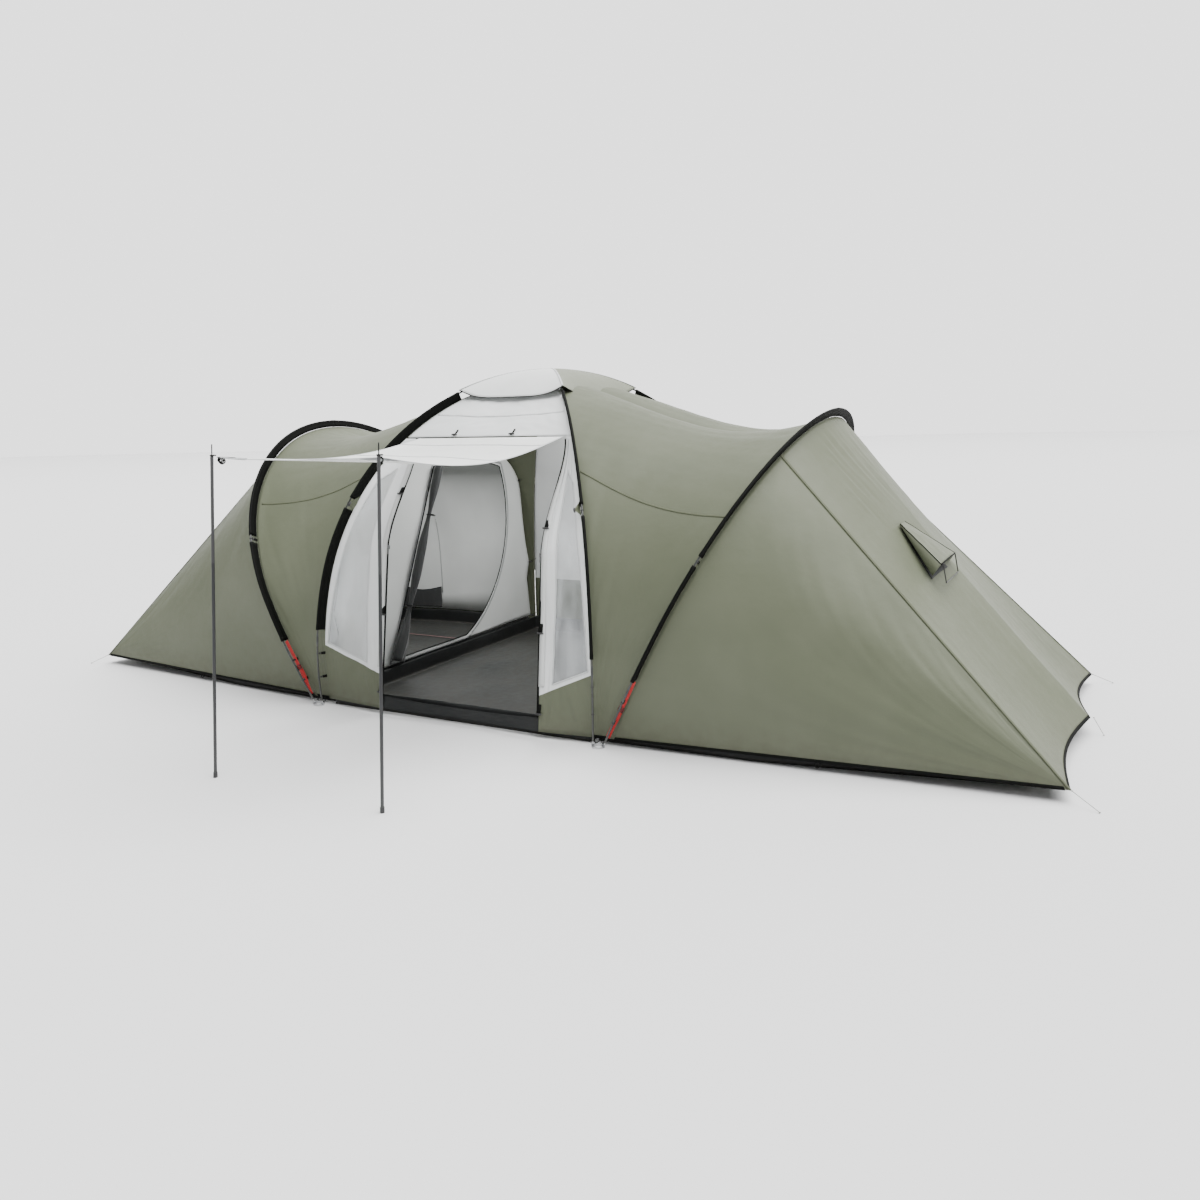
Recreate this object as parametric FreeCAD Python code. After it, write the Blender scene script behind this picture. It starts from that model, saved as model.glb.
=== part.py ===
import FreeCAD, Part
import math
import os
from FreeCAD import Vector

# Tunnel tent on bent poles: a crossed-pole dome in the middle, a sleeping tunnel on each side, and a door
# flap that stands out on two steel poles as a canopy. X runs along the tent, the door faces -Y, Z is up.
# Sizes are in mm, and the origin is on the ground at the middle of the dome.

# Pole layout
CORNER_X = 950.0          # dome pole feet stand this far out along the tent
CORNER_Y = 1250.0         # and this far to the front and the rear
FOOT_Z = 30.0             # pole feet stand on pins above the corner rings
CROWN_Z = 2050.0          # upper dome pole at the crossing
DOME_LEAN = -7.6          # degrees; the pole leans outward as it leaves its foot
DOME_SHOULDER = 11.5      # degrees of turn where the tighter crown arc begins
HOOP_GAP = 70.0           # hoop feet stand outside the dome feet
HOOP_TOP_X = 1965.0
HOOP_TOP_Z = 1745.0
HOOP_LEAN = -10.7
HOOP_SHOULDER = 1.1
POLE_R = 5.5              # glass-fibre tube
POLE_BORE_R = 3.3
POLE_SECTION = 620.0      # length that a section is cut to, at most
CROSS_GAP = 3.0           # clear space between the two dome poles at the crossing
CORD_R = 1.3              # elastic cord inside the poles
CORD_INSET = 10.0         # from the end of a pin to the end of the cord
FERRULE_LENGTH = 60.0
FERRULE_WALL = 0.7
SLIP = 0.15               # clearance of a ferrule on its pole and of a pin in its pole

# Pole sleeves: flat fins of tape that hang the fly from the poles
SLEEVE_DEPTH = 48.0       # pole centre to the seam with the fly
SLEEVE_R = 9.5
SLEEVE_BORE_R = 7.2
SLEEVE_WALL = 1.5
SLEEVE_START = 0.15       # shares of the half pole, from the foot to the crown
SLEEVE_GAP = (0.40, 0.45)
CAP_EDGE = 0.775
HOOP_SLEEVE_GAPS = ((0.40, 0.43), (0.70, 0.74))

# Fly cloth
CLOTH = 2.5               # thickness of a fly panel
SEAM = 1.5                # clear space between panels, and between cloth and its neighbours
RIDGE_SAG = 205.0         # how far the tunnel ridge hangs below the straight line from crown to hoop
SIDE_SAG = 35.0
SAG_AXIS_Z = 500.0        # cloth sags towards a line at this height along the tent
INSIDE_Z = 400.0          # and thickens towards this height inside it
END_SAG = 25.0
FRONT_SAG = 20.0
RIDGE_START = 0.71        # share of the hoop where the end panel's ridges begin
END_X = 3220.0            # lower corners of the end panel
END_Y = 1065.0
END_Z = 60.0
END_MID_X = 3255.0        # middle peg of the end hem
END_MID_Z = 90.0
HEM_SCALLOP = 60.0
HEM_TAPE = 24.0
CORNER_TURN = 40.0        # blunt height of a side panel at its outer corner
CAP_LIFT = 18.0

# Door, its flap and the canopy poles
HINGE_Z = 1625.0
SILL_Z = 110.0
ZIP_SHOULDER_Z = 1000.0   # below this height the zips run straight
ZIP_SILL_Y = -1240.0
ZIP_LEFT = (-485.0, -530.0)     # x at the sill and at the flap hinge
ZIP_RIGHT = (610.0, 575.0)
ZIP_TAPE = 12.0
ZIP_TAPE_THICKNESS = 1.6
ZIP_TAPE_END = 12.0       # the tapes stop this far under the flap's hinge
FLAP_LEFT = (-500.0, -455.0)    # x at the hinge and at the free edge
FLAP_RIGHT = (550.0, 505.0)
FLAP_CLOTH = 2.0
FLAP_LENGTHS = (360.0, 540.0, 700.0)
FLAP_SLOPES = (8.0, 2.5, -3.0)  # degrees below level, standing out as a canopy
FLAP_JOINT = 2.0                # clear space between two lengths of the flap
POLE_X = 530.0            # canopy poles
POLE_Y = -2420.0
POLE_TIP_LEAN = 30.0      # the tips stand this far to the +X side of the feet
CANOPY_POLE_R = 8.0
TUBE_WALL = 1.0
CANOPY_POLE_BORE_R = CANOPY_POLE_R - TUBE_WALL
CANOPY_POLE_TOP = 1588.0
CANOPY_POLE_SECTIONS = 3
SWAGE_LENGTH = 70.0
COLLAR = 4.0              # thick stretch of a tube where its swage begins
FOOT_SOCKET = 18.0        # depth of a pole in its rubber foot
PLUG_LENGTH = 45.0        # of the spike, inside the pole
SPIKE_R = 3.0
SPIKE_TOP = 1648.0
FOOT_R = 10.5
FOOT_HEIGHT = 26.0
LOOP_R = 13.0
LOOP_WIRE = 3.0
WINDOW_FILM = 1.0
WINDOW_LAP = 14.0
WINDOW_CORNERS = ((0.16, 0.22), (0.70, 0.18), (0.70, 0.86), (0.30, 0.86))  # shares across and up the wall

# Floor and cabins
TUB_GAP = 32.0            # groundsheet edge to the cabin walls
TUB_Y = 1190.0
TUB_WALL = 110.0
TUB_CLOTH = 3.0
CABIN_WALL_X = 932.0      # cabin walls that face the living space
CABIN_KNEE_X = 1800.0     # where the cabin's roof begins to slope down to its end
CABIN_END_X = 2960.0
CABIN_HEIGHTS = (1520.0, 1470.0, 200.0)  # at the wall, the knee and the end
CABIN_WIDTHS = (1150.0, 1120.0, 930.0)   # half widths at the same places
CABIN_SQUARENESS = (4.0, 3.0, 4.0)       # higher is a squarer section
CABIN_CLOTH = 2.5
DOOR_FRONT_LOW = Vector(0, -600, 132)    # outline of a cabin door
DOOR_FRONT_HIGH = Vector(0, -100, 1405)
DOOR_TOP_BOW = Vector(0, 350, 1425)
DOOR_REAR_HIGH = Vector(0, 740, 1360)
DOOR_REAR_BOW = Vector(0, 735, 600)
DOOR_REAR_LOW = Vector(0, 250, 132)
CURTAIN_R = 40.0
CURTAIN_TIE_R = 17.0
CURTAIN_TIE = 0.72        # share of the door's height

# Zip sliders
SLIDER_LENGTH = 24.0
SLIDER_WIDTH = 11.0
SLIDER_DEPTH = 9.0
SLIDER_SLOT = 0.6         # clearance on each face of the tape
PULL_LENGTH = 40.0
PULL_THICKNESS = 1.6

# Roof vents in the end panels
VENT_DOWN = 0.35          # share of the panel's slope above the hood's hinge
VENT_ACROSS = -0.30       # share of the panel's half width, towards the front
VENT_LENGTH = 300.0
VENT_NECK = 120.0
VENT_MOUTH = 440.0
VENT_ANGLE = 15.0
VENT_CLOTH = 2.5
VENT_BASE = 12.0          # hinge height over the panel
PROP_R = 3.0
PROP_REACH = 90.0         # from the hood's free edge to the foot of its props
PROP_FOOT = 36.0          # height of the props' pin over the panel
PROP_SIDE = 30.0          # from the hood's side to a prop
PROP_GAP = 2.5            # clear space between a prop's tip and the hood's free edge
PROP_DROP = 4.0           # the tips stand this far under the free edge

# Corner fittings, straps and guy lines
RING_WIRE = 4.0
RING_Z = 10.0
EYE_R = 7.5
EYE_WIRE = 2.4
PIN_R = 2.9
PIN_INSERT = 50.0
STRAP_WIDTH = 20.0
STRAP_THICKNESS = 1.5
GUY_R = 1.5
GUY_START_X = 6.0         # a corner guy starts this far outside the hem
GUY_START_Y = 3.0
GUY_MID_START = 18.0      # and a middle guy this far outside the middle peg
GUY_PEG_X = 3335.0
GUY_PEG_Y = 1126.0
GUY_MID_PEG_X = 3318.0
KNOT_R = 5.0


class BentPole:
    """Half of a bent pole in its own plane: an arc from foot to shoulder, then an arc to the crown."""

    def __init__(self, half_span, rise, lean, shoulder):
        self.lean = math.radians(lean)
        self.shoulder = math.radians(shoulder)
        a = math.cos(self.lean) - math.cos(self.shoulder)
        b = math.cos(self.shoulder)
        c = math.sin(self.shoulder) - math.sin(self.lean)
        d = 1.0 - math.sin(self.shoulder)
        self.lower_r = (half_span * d - rise * b) / (a * d - b * c)
        self.crown_r = (rise * a - half_span * c) / (a * d - b * c)
        self.lower_centre = (half_span - self.lower_r * math.cos(self.lean),
                             -self.lower_r * math.sin(self.lean))
        drop = self.lower_r - self.crown_r
        self.crown_centre = (self.lower_centre[0] + drop * math.cos(self.shoulder),
                             self.lower_centre[1] + drop * math.sin(self.shoulder))
        self.lower_length = self.lower_r * (self.shoulder - self.lean)
        self.length = self.lower_length + self.crown_r * (math.pi / 2 - self.shoulder)
        self.split = self.lower_length / self.length

    def point(self, share, inset=0.0):
        """Distance out from the middle and height above the foot, at a share of the way to the crown."""
        run = share * self.length
        if run < self.lower_length:
            angle = self.lean + run / self.lower_r
            centre, radius = self.lower_centre, self.lower_r
        else:
            angle = self.shoulder + (run - self.lower_length) / self.crown_r
            centre, radius = self.crown_centre, self.crown_r
        reach = radius - inset
        return centre[0] + reach * math.cos(angle), centre[1] + reach * math.sin(angle)


DIAGONAL = math.hypot(CORNER_X, CORNER_Y)
HOOP_FOOT_X = CORNER_X + HOOP_GAP
HOOP_SLANT = math.hypot(HOOP_TOP_X - HOOP_FOOT_X, HOOP_TOP_Z - FOOT_Z)
DOME = BentPole(DIAGONAL, CROWN_Z - FOOT_Z, DOME_LEAN, DOME_SHOULDER)
LOWER_DOME = BentPole(DIAGONAL, CROWN_Z - FOOT_Z - 2 * POLE_R - CROSS_GAP, DOME_LEAN, DOME_SHOULDER)
HOOP = BentPole(CORNER_Y, HOOP_SLANT, HOOP_LEAN, HOOP_SHOULDER)


def dome_place(pole, side_x, side_y):
    """Puts a point of a dome pole's half that stands on the corner (side_x, side_y) into the tent."""
    def place(out, up):
        return Vector(side_x * CORNER_X / DIAGONAL * out, side_y * CORNER_Y / DIAGONAL * out, FOOT_Z + up)
    return lambda share, inset=0.0: place(*pole.point(share, inset))


def hoop_place(side_x, side_y):
    """Puts a point of a hoop's front or rear half into the tent; the hoop's plane leans outward."""
    def place(out, up):
        x = HOOP_FOOT_X + (HOOP_TOP_X - HOOP_FOOT_X) * up / HOOP_SLANT
        return Vector(side_x * x, side_y * out, FOOT_Z + (HOOP_TOP_Z - FOOT_Z) * up / HOOP_SLANT)
    return lambda share, inset=0.0: place(*HOOP.point(share, inset))


def lerp(a, b, t):
    return a + (b - a) * t


def whole_pole(front, rear):
    """Joins two halves into one curve: t from -1 at the front foot, over 0 at the crown, to 1 at the rear."""
    def point(t, inset=0.0):
        return front(1 + t, inset) if t < 0 else rear(1 - t, inset)
    return point


def pole_curves():
    return {
        "dome_pole_left_front": (whole_pole(dome_place(DOME, -1, -1), dome_place(DOME, 1, 1)), DOME),
        "dome_pole_right_front": (whole_pole(dome_place(LOWER_DOME, 1, -1), dome_place(LOWER_DOME, -1, 1)),
                                  LOWER_DOME),
        "hoop_pole_left": (whole_pole(hoop_place(-1, -1), hoop_place(-1, 1)), HOOP),
        "hoop_pole_right": (whole_pole(hoop_place(1, -1), hoop_place(1, 1)), HOOP),
    }


def stations(pole, start, end, longest):
    """Splits a stretch of a whole pole at its shoulders, then into equal lengths."""
    shoulders = [t for t in (pole.split - 1, 1 - pole.split) if start < t < end]
    edges = [start] + shoulders + [end]
    cuts = []
    for a, b in zip(edges, edges[1:]):
        count = max(1, math.ceil((b - a) * pole.length / longest))
        cuts += [(lerp(a, b, i / count), lerp(a, b, (i + 1) / count)) for i in range(count)]
    return cuts


def turned(curve, start, end, section):
    """Turns a section about the centre of one arc of a pole, from start to end."""
    first, middle, last = curve(start), curve((start + end) / 2), curve(end)
    circle = Part.Arc(first, middle, last).toShape().Curve
    centre, normal = circle.Center, circle.Axis
    outward = (first - centre).normalize()
    forward = normal.cross(outward)
    if forward.dot(middle - first) < 0:
        normal = normal * -1
    angle = math.degrees((last - centre).getAngle(first - centre))
    return section(first, outward, normal).revolve(centre, normal, angle)


def ring_section(outer, inner):
    """A round section; a tube where an inner radius is given."""
    def section(at, outward, across):
        normal = outward.cross(across)
        face = Part.Face(Part.Wire(Part.Circle(at, normal, outer).toShape()))
        if inner:
            face = face.cut(Part.Face(Part.Wire(Part.Circle(at, normal, inner).toShape())))
        return face
    return section


def sleeve_section(reach):
    """A fin: round where the pole runs through it, flat for its reach down to the seam with the fly."""
    return lambda at, outward, across: fin(at, outward, across, reach)


def fin(at, outward, across, tip):
    left = at + across * SLEEVE_WALL
    right = at - across * SLEEVE_WALL
    drop = math.sqrt(SLEEVE_R ** 2 - SLEEVE_WALL ** 2)
    edges = [
        Part.LineSegment(left - outward * tip, left - outward * drop).toShape(),
        Part.Arc(left - outward * drop, at + outward * SLEEVE_R, right - outward * drop).toShape(),
        Part.LineSegment(right - outward * drop, right - outward * tip).toShape(),
        Part.LineSegment(right - outward * tip, left - outward * tip).toShape(),
    ]
    face = Part.Face(Part.Wire(edges))
    return face.cut(Part.Face(Part.Wire(Part.Circle(at, outward.cross(across), SLEEVE_BORE_R).toShape())))


def make_pole(curve, pole):
    tube = ring_section(POLE_R, POLE_BORE_R)
    return Part.makeCompound([turned(curve, a, b, tube) for a, b in stations(pole, -1, 1, POLE_SECTION)])


def make_pole_ferrules():
    """Steel tubes that join the sections of every bent pole."""
    sleeve = ring_section(POLE_R + SLIP + FERRULE_WALL, POLE_R + SLIP)
    solids = []
    for curve, pole in pole_curves().values():
        half = FERRULE_LENGTH / 2 / pole.length
        for _, joint in stations(pole, -1, 1, POLE_SECTION)[:-1]:
            middle = joint
            if abs(abs(joint) - (1 - pole.split)) < half:
                middle = joint - math.copysign(half, joint)
            solids.append(turned(curve, middle - half, middle + half, sleeve))
    return Part.makeCompound(solids)


def make_shock_cords():
    """Elastic cords that run through the hollow poles and keep their sections together."""
    cord = ring_section(CORD_R, 0)
    solids = []
    for curve, pole in pole_curves().values():
        inset = (PIN_INSERT + CORD_INSET) / pole.length
        runs = stations(pole, inset - 1, 1 - inset, pole.length * 2)
        solids += [turned(curve, a, b, cord) for a, b in runs]
    return Part.makeCompound(solids)


def make_sleeves(names, gaps, top):
    """Sleeves on the named poles, open at the clip gaps; top is the share where a sleeve meets the cap."""
    solids = []
    for name in names:
        curve, pole = pole_curves()[name]
        shares = [SLEEVE_START] + [share for gap in gaps for share in gap] + [top]
        for start, end in zip(shares[::2], shares[1::2]):
            runs = stations(pole, start - 1, end - 1, pole.length)
            drop = 2 * POLE_R + CROSS_GAP if pole is LOWER_DOME else 0.0
            section = sleeve_section(SLEEVE_DEPTH - CLOTH - SEAM - drop)
            if end == 1.0:
                runs = stations(pole, start - 1, 1 - start, pole.length)
            solids += [turned(curve, a, b, section) for a, b in runs]
            if end < 1.0:
                solids += [turned(curve, -b, -a, section) for a, b in runs]
    return Part.makeCompound(solids)


def skin(surface, rows, columns, thickness, inward):
    """A panel of cloth: a smooth sheet through surface(u, v), thickened towards the side inward gives."""
    step = 1e-3
    outer, inner = [], []
    for i in range(rows + 1):
        u = i / rows
        outer.append([])
        inner.append([])
        for j in range(columns + 1):
            v = j / columns
            point = surface(u, v)
            along = surface(min(u + step, 1), v) - surface(max(u - step, 0), v)
            across = surface(u, min(v + step, 1)) - surface(u, max(v - step, 0))
            normal = along.cross(across).normalize()
            if normal.dot(inward(point)) < 0:
                normal = normal * -1
            outer[-1].append(point)
            inner[-1].append(point + normal * thickness)
    sheets = []
    for grid in (outer, inner):
        sheet = Part.BSplineSurface()
        sheet.interpolate(grid)
        sheets.append(sheet)
    faces = [sheet.toShape() for sheet in sheets]
    for side in (lambda s: s.uIso(0.0), lambda s: s.uIso(1.0), lambda s: s.vIso(0.0), lambda s: s.vIso(1.0)):
        edges = [side(sheet).toShape() for sheet in sheets]
        faces.append(Part.makeRuledSurface(edges[0], edges[1]))
    shell = Part.Shell(faces)
    shell.sewShape()
    solid = Part.Solid(shell)
    if solid.Volume < 0:
        solid.reverse()
    return solid


def to_axis(point):
    """Points from the cloth towards the middle of the tent's inside."""
    return Vector(point.x * 0.6, 0, INSIDE_Z) - point


def downward(_point):
    return Vector(0, 0, -1)


def sagged(point, amount):
    """Draws a point of the cloth towards the tunnel's axis."""
    return point + Vector(0, -point.y, SAG_AXIS_Z - point.z).normalize() * amount


def tunnel_surface(side_x, side_y, inset=SLEEVE_DEPTH):
    """Half a tunnel roof: u from the dome pole to the hoop, v from the hem to the ridge."""
    dome, hoop = dome_place(DOME, side_x, side_y), hoop_place(side_x, side_y)

    def surface(u, v):
        point = lerp(dome(v, inset), hoop(v, inset), u)
        sag = SIDE_SAG * math.sin(math.pi * u) * math.sin(math.pi * v)
        sag += RIDGE_SAG * v ** 4 * math.sin(math.pi * u ** 1.5)
        return sagged(point, sag)
    return surface


def make_tunnel(side_x, side_y):
    whole = tunnel_surface(side_x, side_y)
    edge = 2 * SEAM / 1000.0

    def surface(u, v):
        return whole(lerp(edge, 1 - edge, u), lerp(0.0, 1 - edge, v))
    return skin(surface, 8, 14, CLOTH, to_axis)


def end_hem(w):
    """Lower edge of the end panel, drawn in between pegs: w from -1 at the front to 1 at the rear corner."""
    x = lerp(END_MID_X, END_X, abs(w)) - HEM_SCALLOP * math.sin(math.pi * abs(w))
    return Vector(x, END_Y * w, lerp(END_MID_Z, END_Z, abs(w)))


def end_surface(side_x):
    front, rear = hoop_place(1, -1), hoop_place(1, 1)

    def surface(u, v):
        w = 2 * v - 1
        share = lerp(1, RIDGE_START, abs(w))
        top = (front if w < 0 else rear)(share, SLEEVE_DEPTH)
        low = end_hem(w)
        point = lerp(top, low, u)
        inward = Vector(low.z - top.z, 0, top.x - low.x).normalize()
        point = point + inward * (END_SAG * math.sin(math.pi * u) * (1 - w * w))
        return Vector(side_x * point.x, point.y, point.z)
    return surface


def make_end_panel(side_x):
    whole = end_surface(side_x)
    edge = SEAM / 1000.0
    return skin(lambda u, v: whole(lerp(edge, 1, u), lerp(edge, 1 - edge, v)), 8, 24, CLOTH, to_axis)


def side_surface(side_x, side_y):
    """A side panel: v up the hoop's leg, u out to the lower corner of the end panel."""
    hoop = hoop_place(1, side_y)
    corner = end_hem(side_y)
    ridge = (hoop(RIDGE_START, SLEEVE_DEPTH) - corner).normalize()

    def surface(u, v):
        point = lerp(hoop(v * RIDGE_START, SLEEVE_DEPTH), corner + ridge * (CORNER_TURN * v), u)
        point = sagged(point, SIDE_SAG * math.sin(math.pi * u) * math.sin(math.pi * v))
        return Vector(side_x * point.x, point.y, point.z)
    return surface


def make_side_panel(side_x, side_y):
    whole = side_surface(side_x, side_y)
    edge = SEAM / 1000.0
    return skin(lambda u, v: whole(lerp(edge, 1, u), lerp(0, 1 - edge * 2, v)), 8, 8, CLOTH, to_axis)


def make_hem_tape():
    """Black tape that binds the lower edges of the fly, end to end."""
    drop = Vector(0, 0, -HEM_TAPE)
    gap = Vector(0, 0, -SEAM)
    tapes = []
    for side_x in (-1, 1):
        for side_y in (-1, 1):
            for panel in (tunnel_surface(side_x, side_y), side_surface(side_x, side_y)):
                def band(u, v, panel=panel):
                    return panel(lerp(0.01, 0.99, u), 0) + gap + drop * v
                tapes.append(skin(band, 6, 2, CLOTH, to_axis))

        def end_band(u, v, panel=end_surface(side_x)):
            return panel(1, lerp(0.01, 0.99, u)) + gap * 4 + drop * v
        tapes.append(skin(end_band, 24, 2, CLOTH, to_axis))
    return Part.makeCompound(tapes)


def share_at_height(pole, height, inset):
    """Share of the dome pole where the cloth under it is at a height."""
    low, high = 0.0, 1.0
    for _ in range(40):
        middle = (low + high) / 2
        if FOOT_Z + pole.point(middle, inset)[1] < height:
            low = middle
        else:
            high = middle
    return low


def zip_point(ends, z):
    """A point of a door zip: straight from the sill to the shoulder, then with the curve of the dome."""
    hinge_share = share_at_height(DOME, HINGE_Z, SLEEVE_DEPTH)
    dome = dome_place(DOME, 1, -1)
    shoulder = dome(share_at_height(DOME, ZIP_SHOULDER_Z, SLEEVE_DEPTH), SLEEVE_DEPTH)
    if z < ZIP_SHOULDER_Z:
        y = lerp(ZIP_SILL_Y, shoulder.y + FRONT_SAG, (z - SILL_Z) / (ZIP_SHOULDER_Z - SILL_Z))
    else:
        above = (z - ZIP_SHOULDER_Z) / (HINGE_Z - ZIP_SHOULDER_Z)
        y = dome(share_at_height(DOME, z, SLEEVE_DEPTH), SLEEVE_DEPTH).y + FRONT_SAG
        y = lerp(y, dome(hinge_share, SLEEVE_DEPTH).y, above ** 2)
    return Vector(lerp(ends[0], ends[1], (z - SILL_Z) / (HINGE_Z - SILL_Z)), y, z)


def front_surface(side_x):
    """Front wall beside the door: u from the dome pole to the zip, v from the hem to the flap's hinge."""
    dome = dome_place(DOME, side_x, -1)
    ends = ZIP_LEFT if side_x < 0 else ZIP_RIGHT
    top = share_at_height(DOME, HINGE_Z, SLEEVE_DEPTH)

    def surface(u, v):
        outer = dome(v * top, SLEEVE_DEPTH)
        return lerp(outer, zip_point(ends, outer.z), u)
    return surface


def window_shape(side_x, grow):
    """Outline of a window as a prism through the front wall; grow widens it all round."""
    corners = []
    for u, v in WINDOW_CORNERS:
        point = front_surface(side_x)(u, v)
        corners.append(Vector(point.x, POLE_Y, point.z))
    centre = sum(corners, Vector()) * 0.25
    corners = [point + (point - centre).normalize() * grow for point in corners]
    face = Part.Face(Part.makePolygon(corners + corners[:1]))
    return face.extrude(Vector(0, -POLE_Y, 0))


def make_front_panel(side_x):
    whole = front_surface(side_x)
    edge = SEAM / 300.0
    panel = skin(lambda u, v: whole(lerp(edge, 1, u), v), 6, 14, CLOTH, to_axis)
    return panel.cut(window_shape(side_x, 0))


def make_front_windows():
    """Clear films sewn behind the openings of the front walls."""
    films = []
    for side_x in (-1, 1):
        whole = front_surface(side_x)

        def behind(u, v, whole=whole):
            point = whole(lerp(0.02, 0.9, u), lerp(0.05, 0.97, v))
            return point + to_axis(point).normalize() * (CLOTH * 2 + SEAM)
        film = skin(behind, 6, 14, WINDOW_FILM, to_axis)
        films.append(film.common(window_shape(side_x, WINDOW_LAP)))
    return Part.makeCompound(films)


def crown_surface(side_y, low, high):
    """Front or rear wall between the two dome poles, v from the lower edge up towards the crown."""
    left, right = dome_place(DOME, -1, side_y), dome_place(DOME, 1, side_y)

    def surface(u, v):
        share = lerp(low, high, v)
        point = lerp(left(share, SLEEVE_DEPTH), right(share, SLEEVE_DEPTH), u)
        return sagged(point, FRONT_SAG * math.sin(math.pi * u) * math.sin(math.pi * v))
    return surface


def make_overdoor_panel():
    low = share_at_height(DOME, HINGE_Z, SLEEVE_DEPTH) + 4 * SEAM / DOME.length
    whole = crown_surface(-1, low, CAP_EDGE + 0.05)
    edge = SEAM / 250.0
    return skin(lambda u, v: whole(lerp(edge, 1 - edge, u), v), 8, 6, CLOTH, to_axis)


def make_rear_panel():
    whole = crown_surface(1, 0.0, CAP_EDGE + 0.05)
    edge = SEAM / 250.0
    return skin(lambda u, v: whole(lerp(edge, 1 - edge, u), v), 8, 14, CLOTH, to_axis)


def make_roof_cap():
    """Rain cap over the crossing of the dome poles, with straight lower edges."""
    corner = dome_place(DOME, 1, 1)(CAP_EDGE, -CAP_LIFT)
    reach = math.hypot(corner.x, corner.y)

    def surface(u, v):
        a, b = 2 * u - 1, 2 * v - 1
        square = ((a ** 6 + b ** 6) / 2) ** (1 / 6)
        out = math.sqrt(0.7 * ((a * corner.x) ** 2 + (b * corner.y) ** 2) + 0.3 * (reach * square) ** 2)
        drop = DOME.crown_r + CAP_LIFT - math.sqrt((DOME.crown_r + CAP_LIFT) ** 2 - out ** 2)
        return Vector(a * corner.x, b * corner.y, CROWN_Z + CAP_LIFT - drop)
    return skin(surface, 12, 12, CLOTH, downward)


def beam(start, end, radius):
    return Part.makeCylinder(radius, (end - start).Length, start, end - start)


def foot_line(place):
    """Foot of a pole and the direction in which the pole leaves it."""
    foot = place(0.0)
    return foot, (place(0.002) - foot).normalize()


def corner_lines(side_x, side_y):
    return [foot_line(dome_place(DOME, side_x, side_y)), foot_line(hoop_place(side_x, side_y))]


def make_corner_rings_and_pins():
    """At each corner a steel ring with two pins, one pushed into each pole that stands there."""
    solids = []
    for side_x in (-1, 1):
        for side_y in (-1, 1):
            eyes = []
            for foot, up in corner_lines(side_x, side_y):
                eye = foot - up * ((foot.z - RING_Z) / up.z)
                eyes.append(eye)
                solids.append(beam(eye + up * EYE_R, foot + up * PIN_INSERT, PIN_R))
            across = (eyes[1] - eyes[0]).cross(Vector(0, 0, 1)).normalize()
            solids += [Part.makeTorus(EYE_R, EYE_WIRE, eye, across) for eye in eyes]
            ring_r = (eyes[1] - eyes[0]).Length / 2
            solids.append(Part.makeTorus(ring_r, RING_WIRE, (eyes[0] + eyes[1]) * 0.5))
    return Part.makeCompound(solids)


def make_hoop_straps():
    """Red webbing that draws each end of a hoop sleeve down to its corner ring."""
    solids = []
    for side_x in (-1, 1):
        for side_y in (-1, 1):
            hoop = hoop_place(side_x, side_y)
            low = hoop(0.012, POLE_R + STRAP_THICKNESS * 2)
            high = hoop(SLEEVE_START - 0.004, SLEEVE_DEPTH * 0.6)
            run = (high - low).normalize()
            outward = (hoop(0.08) - hoop(0.08, 10)).normalize()
            flat = run.cross(outward).normalize()
            corners = [low + flat * STRAP_WIDTH / 2, low - flat * STRAP_WIDTH / 2,
                       high - flat * STRAP_WIDTH / 2, high + flat * STRAP_WIDTH / 2]
            face = Part.Face(Part.makePolygon(corners + corners[:1]))
            solids.append(face.extrude(run.cross(flat).normalize() * STRAP_THICKNESS))
    return Part.makeCompound(solids)


def tub(corners, wall):
    """A groundsheet with upright edges: an open tray of even thickness."""
    outer = Part.Face(Part.makePolygon(corners + corners[:1])).extrude(Vector(0, 0, wall))
    centre = sum(corners, Vector()) * (1 / len(corners))
    inside = []
    for corner in corners:
        way = centre - corner
        shift = Vector(math.copysign(TUB_CLOTH, way.x), math.copysign(TUB_CLOTH, way.y), TUB_CLOTH)
        inside.append(corner + shift)
    return outer.cut(Part.Face(Part.makePolygon(inside + inside[:1])).extrude(Vector(0, 0, wall)))


def make_groundsheet():
    corners = [Vector(x * (CABIN_WALL_X - TUB_GAP), y * TUB_Y, 0) for x, y in ((-1, -1), (1, -1), (1, 1), (-1, 1))]
    return tub(corners, TUB_WALL)


def cabin_surface(side_x, side_y):
    """Half a cabin's cloth: u from the living space to the end, v from the floor to the ridge."""
    knee = 0.45

    def surface(u, v):
        index, part = (0, u / knee) if u < knee else (1, (u - knee) / (1 - knee))
        stations_x = (CABIN_WALL_X, CABIN_KNEE_X, CABIN_END_X)
        x = lerp(stations_x[index], stations_x[index + 1], part)
        height = lerp(CABIN_HEIGHTS[index], CABIN_HEIGHTS[index + 1], part)
        width = lerp(CABIN_WIDTHS[index], CABIN_WIDTHS[index + 1], part)
        power = 2 / lerp(CABIN_SQUARENESS[index], CABIN_SQUARENESS[index + 1], part)
        low = TUB_WALL + SEAM
        turn = v * math.pi / 2
        y = width * max(0.0, math.cos(turn)) ** power
        return Vector(side_x * x, side_y * (y + SEAM), low + (height - low) * math.sin(turn) ** power)
    return surface


def make_cabin_tent(side_x):
    """Both halves of a cabin's cloth, from the door wall to the low end."""
    halves = []
    for side_y in (-1, 1):
        whole = cabin_surface(side_x, side_y)
        edge = 2 * (SEAM + CABIN_CLOTH) / (CABIN_END_X - CABIN_WALL_X)
        halves.append(skin(lambda u, v: whole(lerp(edge, 1, u), v), 12, 14, CABIN_CLOTH, to_axis))
    return Part.makeCompound(halves)


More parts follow.
